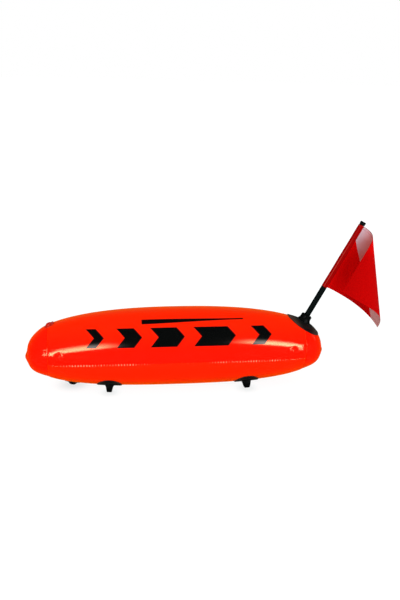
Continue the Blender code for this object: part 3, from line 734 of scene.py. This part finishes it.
def nub_outline(root, tip, top):
    """The end view of the bow's nub: a trapezium with a round top, as a loop of (across, up)."""
    sole = np.stack((np.linspace(-root / 2, root / 2, 13)[1:-1], np.full(11, FOOT)), axis=1)
    rise = np.linspace(0, 1, 12)
    turn = np.linspace(0, math.pi, 25)
    shoulder = top - NUB_CROWN
    right = np.stack((root / 2 + (tip - root) / 2 * rise, FOOT + (shoulder - FOOT) * rise), axis=1)
    over_across = tip / 2 * np.sign(np.cos(turn)) * np.abs(np.cos(turn)) ** 0.6
    over = np.stack((over_across, shoulder + NUB_CROWN * np.sin(turn) ** 0.8), axis=1)
    return np.concatenate((sole, right[:-1], over, right[-2::-1] * (-1, 1)))


def lug_length(up):
    """Half the lug's length fore and aft: it narrows evenly from root to tip."""
    return (LUG_ROOT + (LUG_TIP - LUG_ROOT) * np.clip((up - FOOT) / (LUG_HEIGHT - FOOT), 0, 1)) / 2


def tow_length(up):
    """Half the nub's length: a circle's chord at each height, so that it is an arch from the side."""
    rise = np.clip(up - (TOW_HEIGHT - TOW_SPAN / 2), 0, TOW_SPAN / 2)
    return np.sqrt(np.clip((TOW_SPAN / 2) ** 2 - rise**2, 0, None))


for end, station in (("bow", -LUG_STATION), ("stern", LUG_STATION)):
    for flank, angle in (("port", LUG_ANGLE), ("starboard", -LUG_ANGLE)):
        mesh = patch_mesh(f"patch_{end}_{flank}", station, angle, LUG_PATCH)
        piece(mesh.name, mesh, patch_black, "hull", f"lug_patch_{end}_{flank}")
        seat = skin_frame(station, angle)
        arch = arch_outline(LUG_SPAN, LUG_HEIGHT)
        mesh = eye_mesh(f"lug_{end}_{flank}", seat, arch, LUG_EYE, LUG_BORE, lug_length, LUG_HEIGHT)
        piece(mesh.name, mesh, lug_black, "hull", f"lug_eye_{end}_{flank}")

mesh = patch_mesh("patch_tow", TOW_STATION, 0.0, TOW_PATCH)
piece("patch_tow", mesh, patch_black, "hull", "tow_lug_patch")
seat = skin_frame(TOW_STATION, 0.0)
nub = nub_outline(NUB_ROOT, NUB_TIP, TOW_HEIGHT)
mesh = eye_mesh("lug_tow", seat, nub, TOW_EYE, TOW_BORE, tow_length, TOW_HEIGHT)
piece("lug_tow", mesh, lug_black, "hull", "tow_lug_eye")


# Mast patch and socket
# A large round patch of black PVC over the stern's shoulder, and on it a moulded boss with a blind
# cup inside the hull, into which the mast is pushed at a lean of 28 degrees aft.

MAST_LEAN = math.radians(28)
BOSS = 0.0150
BOSS_HEIGHT = 0.0195
BOSS_STEP = 0.0022
FLARE = 0.0036
FLARE_HEIGHT = 0.0056
CUP_DEPTH = 0.022
CUP_WALL = 0.0030
MAST = 0.0065
BORE = MAST + CLEARANCE
mast_seat = skin_frame(MAST_STATION, math.pi, MAST_LEAN)


def rounded(corners, radii):
    """A profile whose corners are turned into short curves, each a quadratic between two points near the corner."""
    corners, radii = np.array(corners, float), np.array(radii, float)[:, None]
    before, after = np.roll(corners, 1, axis=0) - corners, np.roll(corners, -1, axis=0) - corners
    start = corners + radii * before / np.linalg.norm(before, axis=1)[:, None]
    end = corners + radii * after / np.linalg.norm(after, axis=1)[:, None]
    share = np.linspace(0, 1, 5)[None, :, None]
    curve = (1 - share) ** 2 * start[:, None] + 2 * share * (1 - share) * corners[:, None] + share**2 * end[:, None]
    return curve.reshape(-1, 2)


def turned(name, seat, profile, finish, body, node, settle=None):
    """A piece whose closed profile of (radius, height) is turned about a frame's z axis.

    Settle gives what is added to the heights, from the radius, the height and the skin's height there.
    """
    profile = np.concatenate((profile, profile[:1]))
    turn = np.linspace(0, 2 * math.pi, 73)[:, None]
    radius, height = profile[None, :, 0] + 0 * turn, profile[None, :, 1] + 0 * turn
    a, b = radius * np.cos(turn), radius * np.sin(turn)
    if settle is not None:
        height = height + settle(radius, height, skin_height(seat, a, b))
    along = np.concatenate(((0,), np.cumsum(np.linalg.norm(np.diff(profile, axis=0), axis=1))))
    chart = paired(turn * 0.01, along[None, :])
    piece(name, grid_mesh(name, from_seat(seat, a, b, height), chart), finish, body, node)


def boss_settle(radius, height, skin):
    """Outside the cup the boss's foot follows the skin, by a cubic that is 1 at the foot and 0 at its top."""
    weight = np.clip(1 - (height - FOOT) / (BOSS_HEIGHT - FOOT), 0, 1) ** 3
    return np.where((radius > BORE + CUP_WALL + 0.0001) & (height > 0), weight * skin, 0)


mesh = patch_mesh("patch_mast", MAST_STATION, math.pi, MAST_PATCH, BORE + CUP_WALL + 0.001)
piece("patch_mast", mesh, patch_black, "hull", "mast_patch")
boss = rounded(
    (
        (0, -CUP_DEPTH), (BORE + CUP_WALL, -CUP_DEPTH), (BORE + CUP_WALL, FOOT), (BOSS + FLARE, FOOT),
        (BOSS, FOOT + FLARE_HEIGHT), (BOSS, BOSS_HEIGHT - BOSS_STEP), (BOSS - BOSS_STEP, BOSS_HEIGHT),
        (BORE, BOSS_HEIGHT), (BORE, CUP_WALL - CUP_DEPTH), (0, CUP_WALL - CUP_DEPTH),
    ),
    (0, 0.001, 0, 0.0004, 0.0030, 0.0006, 0.0006, 0.0005, 0.0008, 0),
)
turned("socket", mast_seat, boss, lug_black, "hull", "mast_socket", boss_settle)


# Mast
# A black fibreglass-filled tube, pushed into the socket, with a thicker jacket up to the flag, a
# plug in its foot and a push-on cap at its top that keeps the flag's sleeve from sliding off.

MAST_REACH = 0.3113
TIP_CAP = 0.0079
TIP_CAP_LENGTH = 0.0087
TIP_ROOF = 0.0018
MAST_FOOT = CUP_WALL - CUP_DEPTH + CLEARANCE
PLUG_FLANGE = 0.002
PLUG_LENGTH = 0.010
JACKET = 0.0078
JACKET_FOOT = BOSS_HEIGHT + 0.0004
JACKET_TOP = 0.1099  # Twice the clearance below the sleeve's foot.


def mast_plastic():
    """Near-black extruded tube, faintly teal, with fine lengthwise drawing lines."""
    black = Finish("mast_black", {"IOR": 1.45, "Specular IOR Level": 0.05})
    place = black.place()
    x, y, z = place.split()
    stretched = place.node("ShaderNodeCombineXYZ", {}, {0: x * 900.0, 1: y * 900.0, 2: z * 12.0})
    lines = stretched.noise(1.0, 2.0)
    wear = place.noise(90.0, 5.0).ramp(0.55, 0.8)
    black.feed("Base Color", wear.tint((0.002, 0.0042, 0.0042, 1), (0.005, 0.008, 0.008, 1)))
    black.feed("Roughness", 0.30 + 0.14 * lines + 0.1 * wear)
    black.relief(lines, 0.00005)
    return black.material


mast_black = mast_plastic()
INNER = MAST - 0.0015
TUBE_FOOT = MAST_FOOT + PLUG_FLANGE + CLEARANCE
tube = rounded(
    (
        (INNER, TUBE_FOOT), (MAST, TUBE_FOOT), (MAST, JACKET_FOOT), (JACKET, JACKET_FOOT),
        (JACKET, JACKET_TOP), (MAST, JACKET_TOP), (MAST, MAST_REACH), (INNER, MAST_REACH),
    ),
    (0.0003, 0.0003, 0.0002, 0.0004, 0.0004, 0.0002, 0.0003, 0.0003),
)
turned("mast", mast_seat, tube, mast_black, "mast", "mast_tube")
STEM = INNER - CLEARANCE
plug = rounded(
    (
        (0, MAST_FOOT), (MAST, MAST_FOOT), (MAST, MAST_FOOT + PLUG_FLANGE), (STEM, MAST_FOOT + PLUG_FLANGE),
        (STEM, MAST_FOOT + PLUG_LENGTH), (0, MAST_FOOT + PLUG_LENGTH),
    ),
    (0, 0.0006, 0.0003, 0, 0.0008, 0),
)
turned("foot_plug", mast_seat, plug, lug_black, "mast", "mast_foot_plug")
ROOF = MAST_REACH + CLEARANCE
CAP_FOOT = ROOF + TIP_ROOF - TIP_CAP_LENGTH
CAP_BEVEL = 0.001
cap = rounded(
    (
        (BORE, CAP_FOOT), (TIP_CAP, CAP_FOOT), (TIP_CAP, ROOF + TIP_ROOF - CAP_BEVEL),
        (TIP_CAP - CAP_BEVEL, ROOF + TIP_ROOF), (0, ROOF + TIP_ROOF), (0, ROOF), (BORE, ROOF),
    ),
    (0.0003, 0.0005, 0.0005, 0.0006, 0, 0, 0.0004),
)
turned("tip_cap", mast_seat, cap, mast_black, "tip_cap", "mast_tip_cap")


# Flag
# Red woven cloth with a white diagonal band, hemmed on three sides, with a sleeve sewn round the
# mast. It hangs as a sheet that is rolled about a point on the mast's line above its top corner.

HOIST = 0.1925
FLY = 0.227
CLOTH_WALL = 0.0005
SLEEVE_WALL = 0.0006
SLEEVE_DRAWN = 0.0009
SLEEVE_WAVE = 0.00012
FLAG_TOP = CAP_FOOT - 0.0017
APEX_RISE = 0.048
FLAG_SWING = math.radians(-49)
CURL_SHARES = (0.5, 3.1, 2.4, 3.2, 6.6, 5.0, 1.3, -2.5)
CURL_STEP = math.radians(12)
SWAY = 0.0045
SAG = 0.0042
HEM = 0.009
HEM_FOLD = 0.0012
WEAVE = 0.00055
STITCH = 0.0028
PALE_LINE_TURN = math.radians(189)
BAND_TO_FLY = 0.0320
BAND_TO_HOIST = 0.0205
SEWN = BORE + SLEEVE_WALL + CLEARANCE


def drape_directions():
    """Directions from the flag's apex, for small steps of the angle about it.

    The sheet keeps each point's distance from the apex, and the direction to it runs along a curve
    on the unit sphere whose bend the curl table gives, so the cloth is bent and never stretched.
    """
    angles = np.arange(0, CURL_STEP * (len(CURL_SHARES) - 1), math.radians(0.25))
    nodes = CURL_STEP * np.arange(len(CURL_SHARES))
    curls = np.interp(angles, nodes, CURL_SHARES)
    out = np.array((0.0, 0, -1))
    along = np.array((math.cos(FLAG_SWING), -math.sin(FLAG_SWING), 0))
    side = np.cross(out, along)
    pace = angles[1] - angles[0]
    row = [out]
    for curl in (curls[1:] + curls[:-1]) / 2:
        turned_out = out + pace * along
        turned_along = along - pace * out + curl * pace * side
        out = turned_out / np.linalg.norm(turned_out)
        along = turned_along - turned_along @ out * out
        along /= np.linalg.norm(along)
        side = np.cross(out, along)
        row.append(out)
    return angles, np.array(row)


def hung(across, down):
    """Points of the hanging cloth, from the distance across from the mast's line and down the hoist.

    The lower part sways aft and the foot sags, both smoothly from nothing at the mast.
    """
    angles, directions = drape_directions()
    reach = np.hypot(across, down + APEX_RISE)
    angle = np.arctan2(across, down + APEX_RISE)
    way = np.stack([np.interp(angle, angles, directions[:, k]) for k in range(3)], axis=-1)
    way /= np.linalg.norm(way, axis=-1, keepdims=True)
    a, b, height = np.moveaxis(reach[..., None] * way, -1, 0)
    free = step(0.01, 0.09, across)
    sway, sag = SWAY * (down / HOIST - 0.35) * free, SAG * (down / HOIST) ** 2 * free
    return from_seat(mast_seat, a, b, height + FLAG_TOP + APEX_RISE) + np.stack((sway, 0 * sway, -sag), axis=-1)


def flag_fabric(name, sleeve):
    """Plain-woven polyester: a weave bump, uneven dye, the band, stitch lines along the hems, and
    painted light and shade on the red and on the band.

    The chart runs across from the mast's line (u, metres) and down the hoist (v, metres). On the
    sleeve u runs round the mast, with a pale line along it that grows stronger towards the foot.
    """
    cloth = Finish(name, {"IOR": 1.45, "Specular IOR Level": 0.03})
    across, down, _ = cloth.chart().split()
    weave = across.wave(WEAVE).most(down.wave(WEAVE))
    uneven = cloth.place().noise(28.0, 4.0)
    if sleeve:
        # Painted shade: the sleeve is painted a much darker red than the flag, with uneven dye over it.
        dye_and_painted_light = uneven.ramp(0.3, 0.8).tint((0.27, 0.0, 0.0, 1), (0.22, 0.0, 0.0, 1))
    else:
        # Painted light: the cloth by the mast, which the flap shades, is painted a lighter red than the flap, with
        # uneven dye over it.
        dye_and_painted_light = (across + 0.03 * uneven).ramp(0.07, 0.14).tint((0.64, 0.0, 0.0, 1), (0.39, 0.0, 0.0, 1))
    # Painted shade and red bounce: the band is painted pink-white by the mast, darker pinkish red further out, and a
    # duller, darker pink across the flap.
    band_with_painted_shade = (across + 0.02 * uneven).ramp(0.0, 0.08).tint((0.58, 0.48, 0.55, 1), (0.49, 0.117, 0.10, 1))
    band_with_painted_shade = across.ramp(0.12, 0.18).tint(band_with_painted_shade, (0.41, 0.205, 0.193, 1))
    diagonal = math.hypot(HOIST, FLY)
    off = across * (HOIST / diagonal) - down * (FLY / diagonal)
    band = off.under(BAND_TO_FLY, 0.0003) * (0.0 - off).under(BAND_TO_HOIST, 0.0003)
    edge = down.least(HOIST - down)
    if not sleeve:
        edge = edge.least(FLY - across)
    seam = abs(edge - (HEM - 0.0015)).under(0.00035, 0.00015)
    thread = seam * (across + down).wave(STITCH).ramp(0.25, 0.35)
    colour = thread.tint(dye_and_painted_light if sleeve else band.tint(dye_and_painted_light, band_with_painted_shade), (0.30, 0.0, 0.0, 1))
    if sleeve:
        # A pale line down the sleeve, stronger towards its foot.
        line = abs(across - PALE_LINE_TURN * BORE).under(0.0004, 0.0003) * down.ramp(0.03, 0.11, 0.25, 0.8)
        colour = line.tint(colour, (0.46, 0.07, 0.05, 1))
    else:
        # Darker along the top edge, from the mast out to about a tenth of a metre.
        dark_top_edge = down.under(0.0009, 0.0004) * across.ramp(0.06, 0.10, 1.0, 0.0)
        colour = dark_top_edge.tint(colour, (0.10, 0.004, 0.004, 1))
    cloth.feed("Base Color", colour)
    cloth.feed("Roughness", 0.74 + 0.12 * weave)
    cloth.relief(0.35 * weave + 0.8 * thread - 0.6 * seam, 0.00018)
    return cloth.material


across = spaced(
    (SEWN, SEWN + 0.006, 6), (SEWN + 0.006, FLY - HEM, 150), (FLY - HEM, FLY - HEM + HEM_FOLD, 3),
    (FLY - HEM + HEM_FOLD, FLY, 8),
)[None, :]
down = spaced(
    (0, HEM - HEM_FOLD, 8), (HEM - HEM_FOLD, HEM, 3), (HEM, HOIST - HEM, 128),
    (HOIST - HEM, HOIST - HEM + HEM_FOLD, 3), (HOIST - HEM + HEM_FOLD, HOIST, 8),
)[:, None]
across, down = np.broadcast_arrays(across, down)
mesh = grid_mesh("flag", hung(across, down), paired(across, down))
flag = piece("flag", mesh, flag_fabric("flag_cloth", False), "flag", "flag_cloth")
wall(flag, CLOTH_WALL, 0)


def sleeve_mesh():
    """The sleeve: a tube round the mast, drawn out to the cloth by a bell curve and waved a little round and along."""
    turn = np.linspace(0, 2 * math.pi, 97)[:, None]
    fall = np.linspace(0, 1, 60)[None, :]
    away = turn % (2 * math.pi)
    away = np.minimum(away, 2 * math.pi - away)
    drawn = SLEEVE_DRAWN * np.exp(-((away / 0.30) ** 2))
    radius = BORE + SLEEVE_WALL + drawn + SLEEVE_WAVE * np.cos(3 * turn + 14 * fall)
    spin = turn - FLAG_SWING
    points = from_seat(mast_seat, radius * np.cos(spin), radius * np.sin(spin), FLAG_TOP - HOIST * fall)
    chart = paired(turn * BORE, HOIST * fall)
    return grid_mesh("sleeve", points, chart)


sleeve = piece("sleeve", sleeve_mesh(), flag_fabric("sleeve_cloth", True), "flag", "flag_sleeve")
wall(sleeve, SLEEVE_WALL)


# Valve
# A soft push-in valve of the hull's own colour: a welded flange, a neck that pops up for blowing,
# a stopper on a strap, and a check flap that holds the air while the stopper is out.

FLANGE_WALL = 0.0014
SKIRT = 0.0096
SKIRT_DEPTH = 0.008
NECK = 0.0070
NECK_BORE = 0.0045
NECK_DEPTH = 0.0160
NECK_RIM = 0.0084
HEAD = 0.0072
FLAP = 0.0062
FLAP_WALL = 0.0008
STRAP_HALF = 0.0020
STRAP_HALF_THICK = 0.0005
STRAP_OUT = 0.005
RIM_FOOT = FLANGE_WALL + 2 * CLEARANCE
RIM = 0.0014
STOPPER_FOOT = RIM_FOOT + RIM + CLEARANCE
valve_seat = skin_frame(VALVE_STATION, math.pi)


def valve_vinyl():
    """Soft clear-filled vinyl in the hull's colour, a little duller than the sheet."""
    soft = Finish("valve_soft_vinyl", {"IOR": 1.6, "Specular IOR Level": 0.7})
    place = soft.place()
    cloudy = place.noise(180.0, 4.0)
    soft.feed("Base Color", cloudy.ramp(0.3, 0.8).tint((0.62, 0.016, 0.002, 1), (0.42, 0.010, 0.002, 1)))
    soft.feed("Roughness", 0.14 + 0.12 * cloudy)
    soft.relief(place.noise(700.0, 3.0), 0.00008)
    return soft.material


def flange_settle(radius, height, skin):
    """The flange's ring follows the skin, outside a step at its skirt."""
    return skin * step(SKIRT - 0.0002, SKIRT + 0.0012, radius)


soft_vinyl = valve_vinyl()
flange = rounded(
    (
        (VALVE_FLANGE, CLEARANCE), (VALVE_FLANGE, 0.0009), (SKIRT + 0.0008, 0.0017), (SKIRT - 0.001, 0.0017),
        (SKIRT - 0.001, 0.0012 - SKIRT_DEPTH), (NECK + CLEARANCE, 0.0012 - SKIRT_DEPTH),
        (NECK + CLEARANCE, -SKIRT_DEPTH), (SKIRT, -SKIRT_DEPTH), (SKIRT, CLEARANCE),
    ),
    (0.0001, 0.0004, 0.0006, 0.0003, 0.0004, 0.0003, 0.0003, 0.0006, 0),
)
turned("valve_flange_ring", valve_seat, flange, soft_vinyl, "hull", "valve_flange", flange_settle)
neck = rounded(
    (
        (NECK_BORE, -NECK_DEPTH), (NECK, -NECK_DEPTH), (NECK, RIM_FOOT), (NECK_RIM, RIM_FOOT),
        (NECK_RIM, RIM_FOOT + RIM), (NECK_BORE, RIM_FOOT + RIM),
    ),
    (0.0004, 0.0006, 0.0003, 0.0004, 0.0005, 0.0005),
)
turned("valve_neck_tube", valve_seat, neck, soft_vinyl, "neck", "valve_neck")
nose = NECK_BORE - CLEARANCE
low = STOPPER_FOOT - 0.008
stopper = rounded(
    (
        (0, low), (0.8 * nose, low), (nose, low + 0.4 * nose), (nose, STOPPER_FOOT), (HEAD, STOPPER_FOOT),
        (HEAD, STOPPER_FOOT + 0.0012), (0.8 * HEAD, STOPPER_FOOT + 0.002), (0.6 * HEAD, STOPPER_FOOT + 0.002),
        (0.5 * HEAD, STOPPER_FOOT + 0.0013), (0, STOPPER_FOOT + 0.0013),
    ),
    (0, 0.0004, 0.0004, 0.0003, 0.0003, 0.0003, 0.0004, 0.0003, 0.0003, 0),
)
turned("valve_plug", valve_seat, stopper, soft_vinyl, "stopper", "valve_stopper")
flap_top = -NECK_DEPTH - CLEARANCE
flap = rounded(
    ((0, flap_top - FLAP_WALL), (FLAP, flap_top - FLAP_WALL), (FLAP, flap_top), (0, flap_top)),
    (0, 0.0003, 0.0003, 0),
)
turned("flap_disc", valve_seat, flap, soft_vinyl, "check_flap", "valve_check_flap")


def strap_mesh():
    """The strap: a rounded flat section carried along a half circle, from the neck's rim up to the stopper's head."""
    lower, higher = RIM_FOOT + RIM / 2, STOPPER_FOOT + 0.0010
    turn = (higher - lower) / 2
    centre = NECK_RIM + STRAP_OUT - turn
    bend = np.linspace(-math.pi / 2, math.pi / 2, 25)
    a = np.concatenate(((NECK_RIM - 0.0004,), centre + turn * np.cos(bend), (HEAD - 0.0002,)))[:, None]
    h = np.concatenate(((lower,), lower + turn + turn * np.sin(bend), (higher,)))[:, None]
    heading = np.concatenate((np.gradient(a, axis=0), np.gradient(h, axis=0)), axis=1)
    heading /= np.linalg.norm(heading, axis=1)[:, None]
    around = np.linspace(0, 2 * math.pi, 25)[None, :]
    width = STRAP_HALF * np.sign(np.cos(around)) * np.abs(np.cos(around)) ** 0.5
    thick = STRAP_HALF_THICK * np.sign(np.sin(around)) * np.abs(np.sin(around)) ** 0.5
    points = from_seat(valve_seat, a - heading[:, 1:] * thick, width, h + heading[:, :1] * thick)
    first, last = (np.broadcast_to(points[k].mean(axis=0), (1, 25, 3)) for k in (0, -1))
    points = np.concatenate((first, points, last))
    chart = paired(np.linspace(0, 0.01, len(points))[:, None], around * 0.001)
    return grid_mesh("strap", points, chart)


strap = linked("strap", strap_mesh())
strap.data.materials.append(soft_vinyl)
rise = valve_seat[1][2]
at_rim = valve_seat[0] + rise * (RIM_FOOT + RIM * 0.6)
at_head = valve_seat[0] + rise * (STOPPER_FOOT + 0.0008)
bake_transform(strap)
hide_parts("valve_strap")


# Studio
# A white table with a white surround. Two strip softboxes, to the left and right of the camera, lean
# together like an A, and a small one at each one's foot ends the two streaks along the hull.

CAMERA_TARGET = np.array((0.05994, 0, 0.12708)) + MIDDLE
CAMERA_YAW = math.radians(7.7999)
CAMERA_ELEVATION = math.radians(17.5)
CAMERA_ROLL = math.radians(1.3363)
CAMERA_DISTANCE = 1.9980
FOCAL_SHARE = 743.66 / 600


def aimed(yaw, elevation, roll, distance, target):
    """A frame that looks at a target: yaw is to the left of the far side, and roll turns it about its view."""
    back = np.array((-math.sin(yaw) * math.cos(elevation), -math.cos(yaw) * math.cos(elevation), math.sin(elevation)))
    right = np.array((math.cos(yaw), -math.sin(yaw), 0))
    up = np.cross(back, right)
    turned_right = math.cos(roll) * right + math.sin(roll) * up
    turned_up = math.cos(roll) * up - math.sin(roll) * right
    made = np.eye(4)
    made[:3, 0], made[:3, 1], made[:3, 2], made[:3, 3] = turned_right, turned_up, back, target + distance * back
    return Matrix(made.tolist())


camera_data = bpy.data.cameras.new("camera")
camera_data.sensor_width = 36
camera_data.lens = 36 * FOCAL_SHARE
camera = linked("camera", camera_data)
camera.matrix_world = aimed(CAMERA_YAW, CAMERA_ELEVATION, CAMERA_ROLL, CAMERA_DISTANCE, CAMERA_TARGET)
bpy.context.scene.camera = camera


def rays(tree):
    """Two masks: a ray from the camera, straight or through a clear piece, and a ray from a reflection."""
    path = Wire(tree).node("ShaderNodeLightPath").socket.node.outputs
    camera, clear, glossy = (Wire(tree, path[f"Is {kind} Ray"]) for kind in ("Camera", "Transmission", "Glossy"))
    return camera.most(clear), glossy


FLOOR_SHADES = (  # Place, radius and depth of the soft shade under each lug and under the bow's nub.
    (-0.265, 0.064, 0.035, 0.14), (-0.265, -0.064, 0.035, 0.14), (0.106, 0.064, 0.040, 0.14),
    (0.106, -0.064, 0.040, 0.14), (-0.362, 0.0, 0.060, 0.22),
)
TABLE_PAINT = (0.92, 0.92, 0.92, 1)
PAINT_UNDER_GLOW = (0.095, 0.12, 0.12, 1)  # What the camera sees of it, where the table glows.
turn = np.linspace(0, 2 * math.pi, 65)[:, None]
reach = np.array((0, 0.3, 0.6, 1.2, 2.5, 6, 15, 40))[None, :]
ground = paired(reach * np.cos(turn), reach * np.sin(turn), 0.0)
floor = linked("floor", grid_mesh("floor", ground, ground[..., :2]))
floor_finish = bpy.data.materials.new("white_table")
floor_finish.use_nodes = True
table = Wire(floor_finish.node_tree)
seen, mirrored = rays(table.tree)
x, y, _ = table.node("ShaderNodeTexCoord", {}, {}, "Object").split()
glow = (x * math.sqrt(0.7)).hypot(y).ramp(0.45, 1.0, 0.93, 1.0)
for shade_x, shade_y, spread, depth in FLOOR_SHADES:
    glow = glow * (x - shade_x).hypot(y - shade_y).ramp(0.0, spread, 1 - depth, 1.0)
colour = mirrored.tint(seen.tint(TABLE_PAINT, PAINT_UNDER_GLOW), (0.01, 0.01, 0.01, 1))
paint = table.node("ShaderNodeBsdfDiffuse", {}, {"Color": colour})
lamp = table.node("ShaderNodeEmission", {}, {"Color": (1, 1, 1, 1), "Strength": glow * seen})
both = table.node("ShaderNodeAddShader", {}, {0: paint, 1: lamp})
table.tree.links.new(both.socket, table.tree.nodes["Material Output"].inputs["Surface"])
floor.data.materials.append(floor_finish)

world = bpy.data.worlds.new("surround")
bpy.context.scene.world = world
world.use_nodes = True
sky = Wire(world.node_tree)
seen, mirrored = rays(sky.tree)
_, toward, _ = sky.node("ShaderNodeTexCoord", {}, {}, "Generated").split()
far_side = toward.ramp(0.6, 1.0, 0.0, 0.04)
strength = seen + (1 - seen) * (mirrored * far_side + (1 - mirrored))
backdrop = sky.tree.nodes["Background"]
backdrop.inputs["Color"].default_value = (1, 1, 1, 1)
sky.tree.links.new(strength.socket, backdrop.inputs["Strength"])


def softbox(name, bow_end, stern_end, width, brightness, inner, fade):
    """A strip softbox between two points, given from the hull's middle, that faces the hull.

    Its strength rises quickly from the lower long side, falls slowly to the upper one, and fades in
    from its inner end, which is the bow's or the stern's, as a lamp behind a diffuser does.
    """
    ends = np.array((bow_end, stern_end))
    data = bpy.data.lights.new(name, "AREA")
    data.shape = "RECTANGLE"
    data.size = float(np.linalg.norm(ends[1] - ends[0]))
    data.size_y = width
    data.energy = brightness * math.pi * data.size * data.size_y
    data.use_nodes = True
    lit = Wire(data.node_tree)
    across, up, _ = lit.node("ShaderNodeNewGeometry", {}, {}, "Parametric").split()
    outward = across if inner == "bow" else 1 - across
    share = up.ramp(0.0, 0.24) * up.ramp(0.36, 1.0, 1.0, 0.0) * outward.ramp(0.0, fade)
    lit.tree.links.new(share.socket, lit.tree.nodes["Emission"].inputs["Strength"])
    made = linked(name, data)
    centre = ends.mean(axis=0)
    along = (ends[1] - ends[0]) / data.size
    back = centre - centre @ along * along
    back /= np.linalg.norm(back)
    placed = np.eye(4)
    placed[:3, 0], placed[:3, 1], placed[:3, 2], placed[:3, 3] = along, np.cross(back, along), back, MIDDLE + centre
    made.matrix_world = Matrix(placed.tolist())
    made.visible_camera = False


softbox("softbox_left", (-1.42, -1.1, 0.06), (-0.27, -1.1, 0.63), 0.44, 7.0, "stern", 0.30)
softbox("softbox_right", (0.46, -1.1, 0.67), (1.68, -1.1, 0.12), 0.42, 8.5, "bow", 0.35)
softbox("softbox_left_foot", (-1.12, -0.70, -0.04), (-0.83, -0.79, -0.025), 0.18, 5.6, "stern", 0.15)
softbox("softbox_right_foot", (0.98, -0.78, 0.00), (1.16, -0.70, -0.02), 0.20, 5.0, "bow", 0.15)

bpy.context.scene.view_settings.view_transform = "Standard"
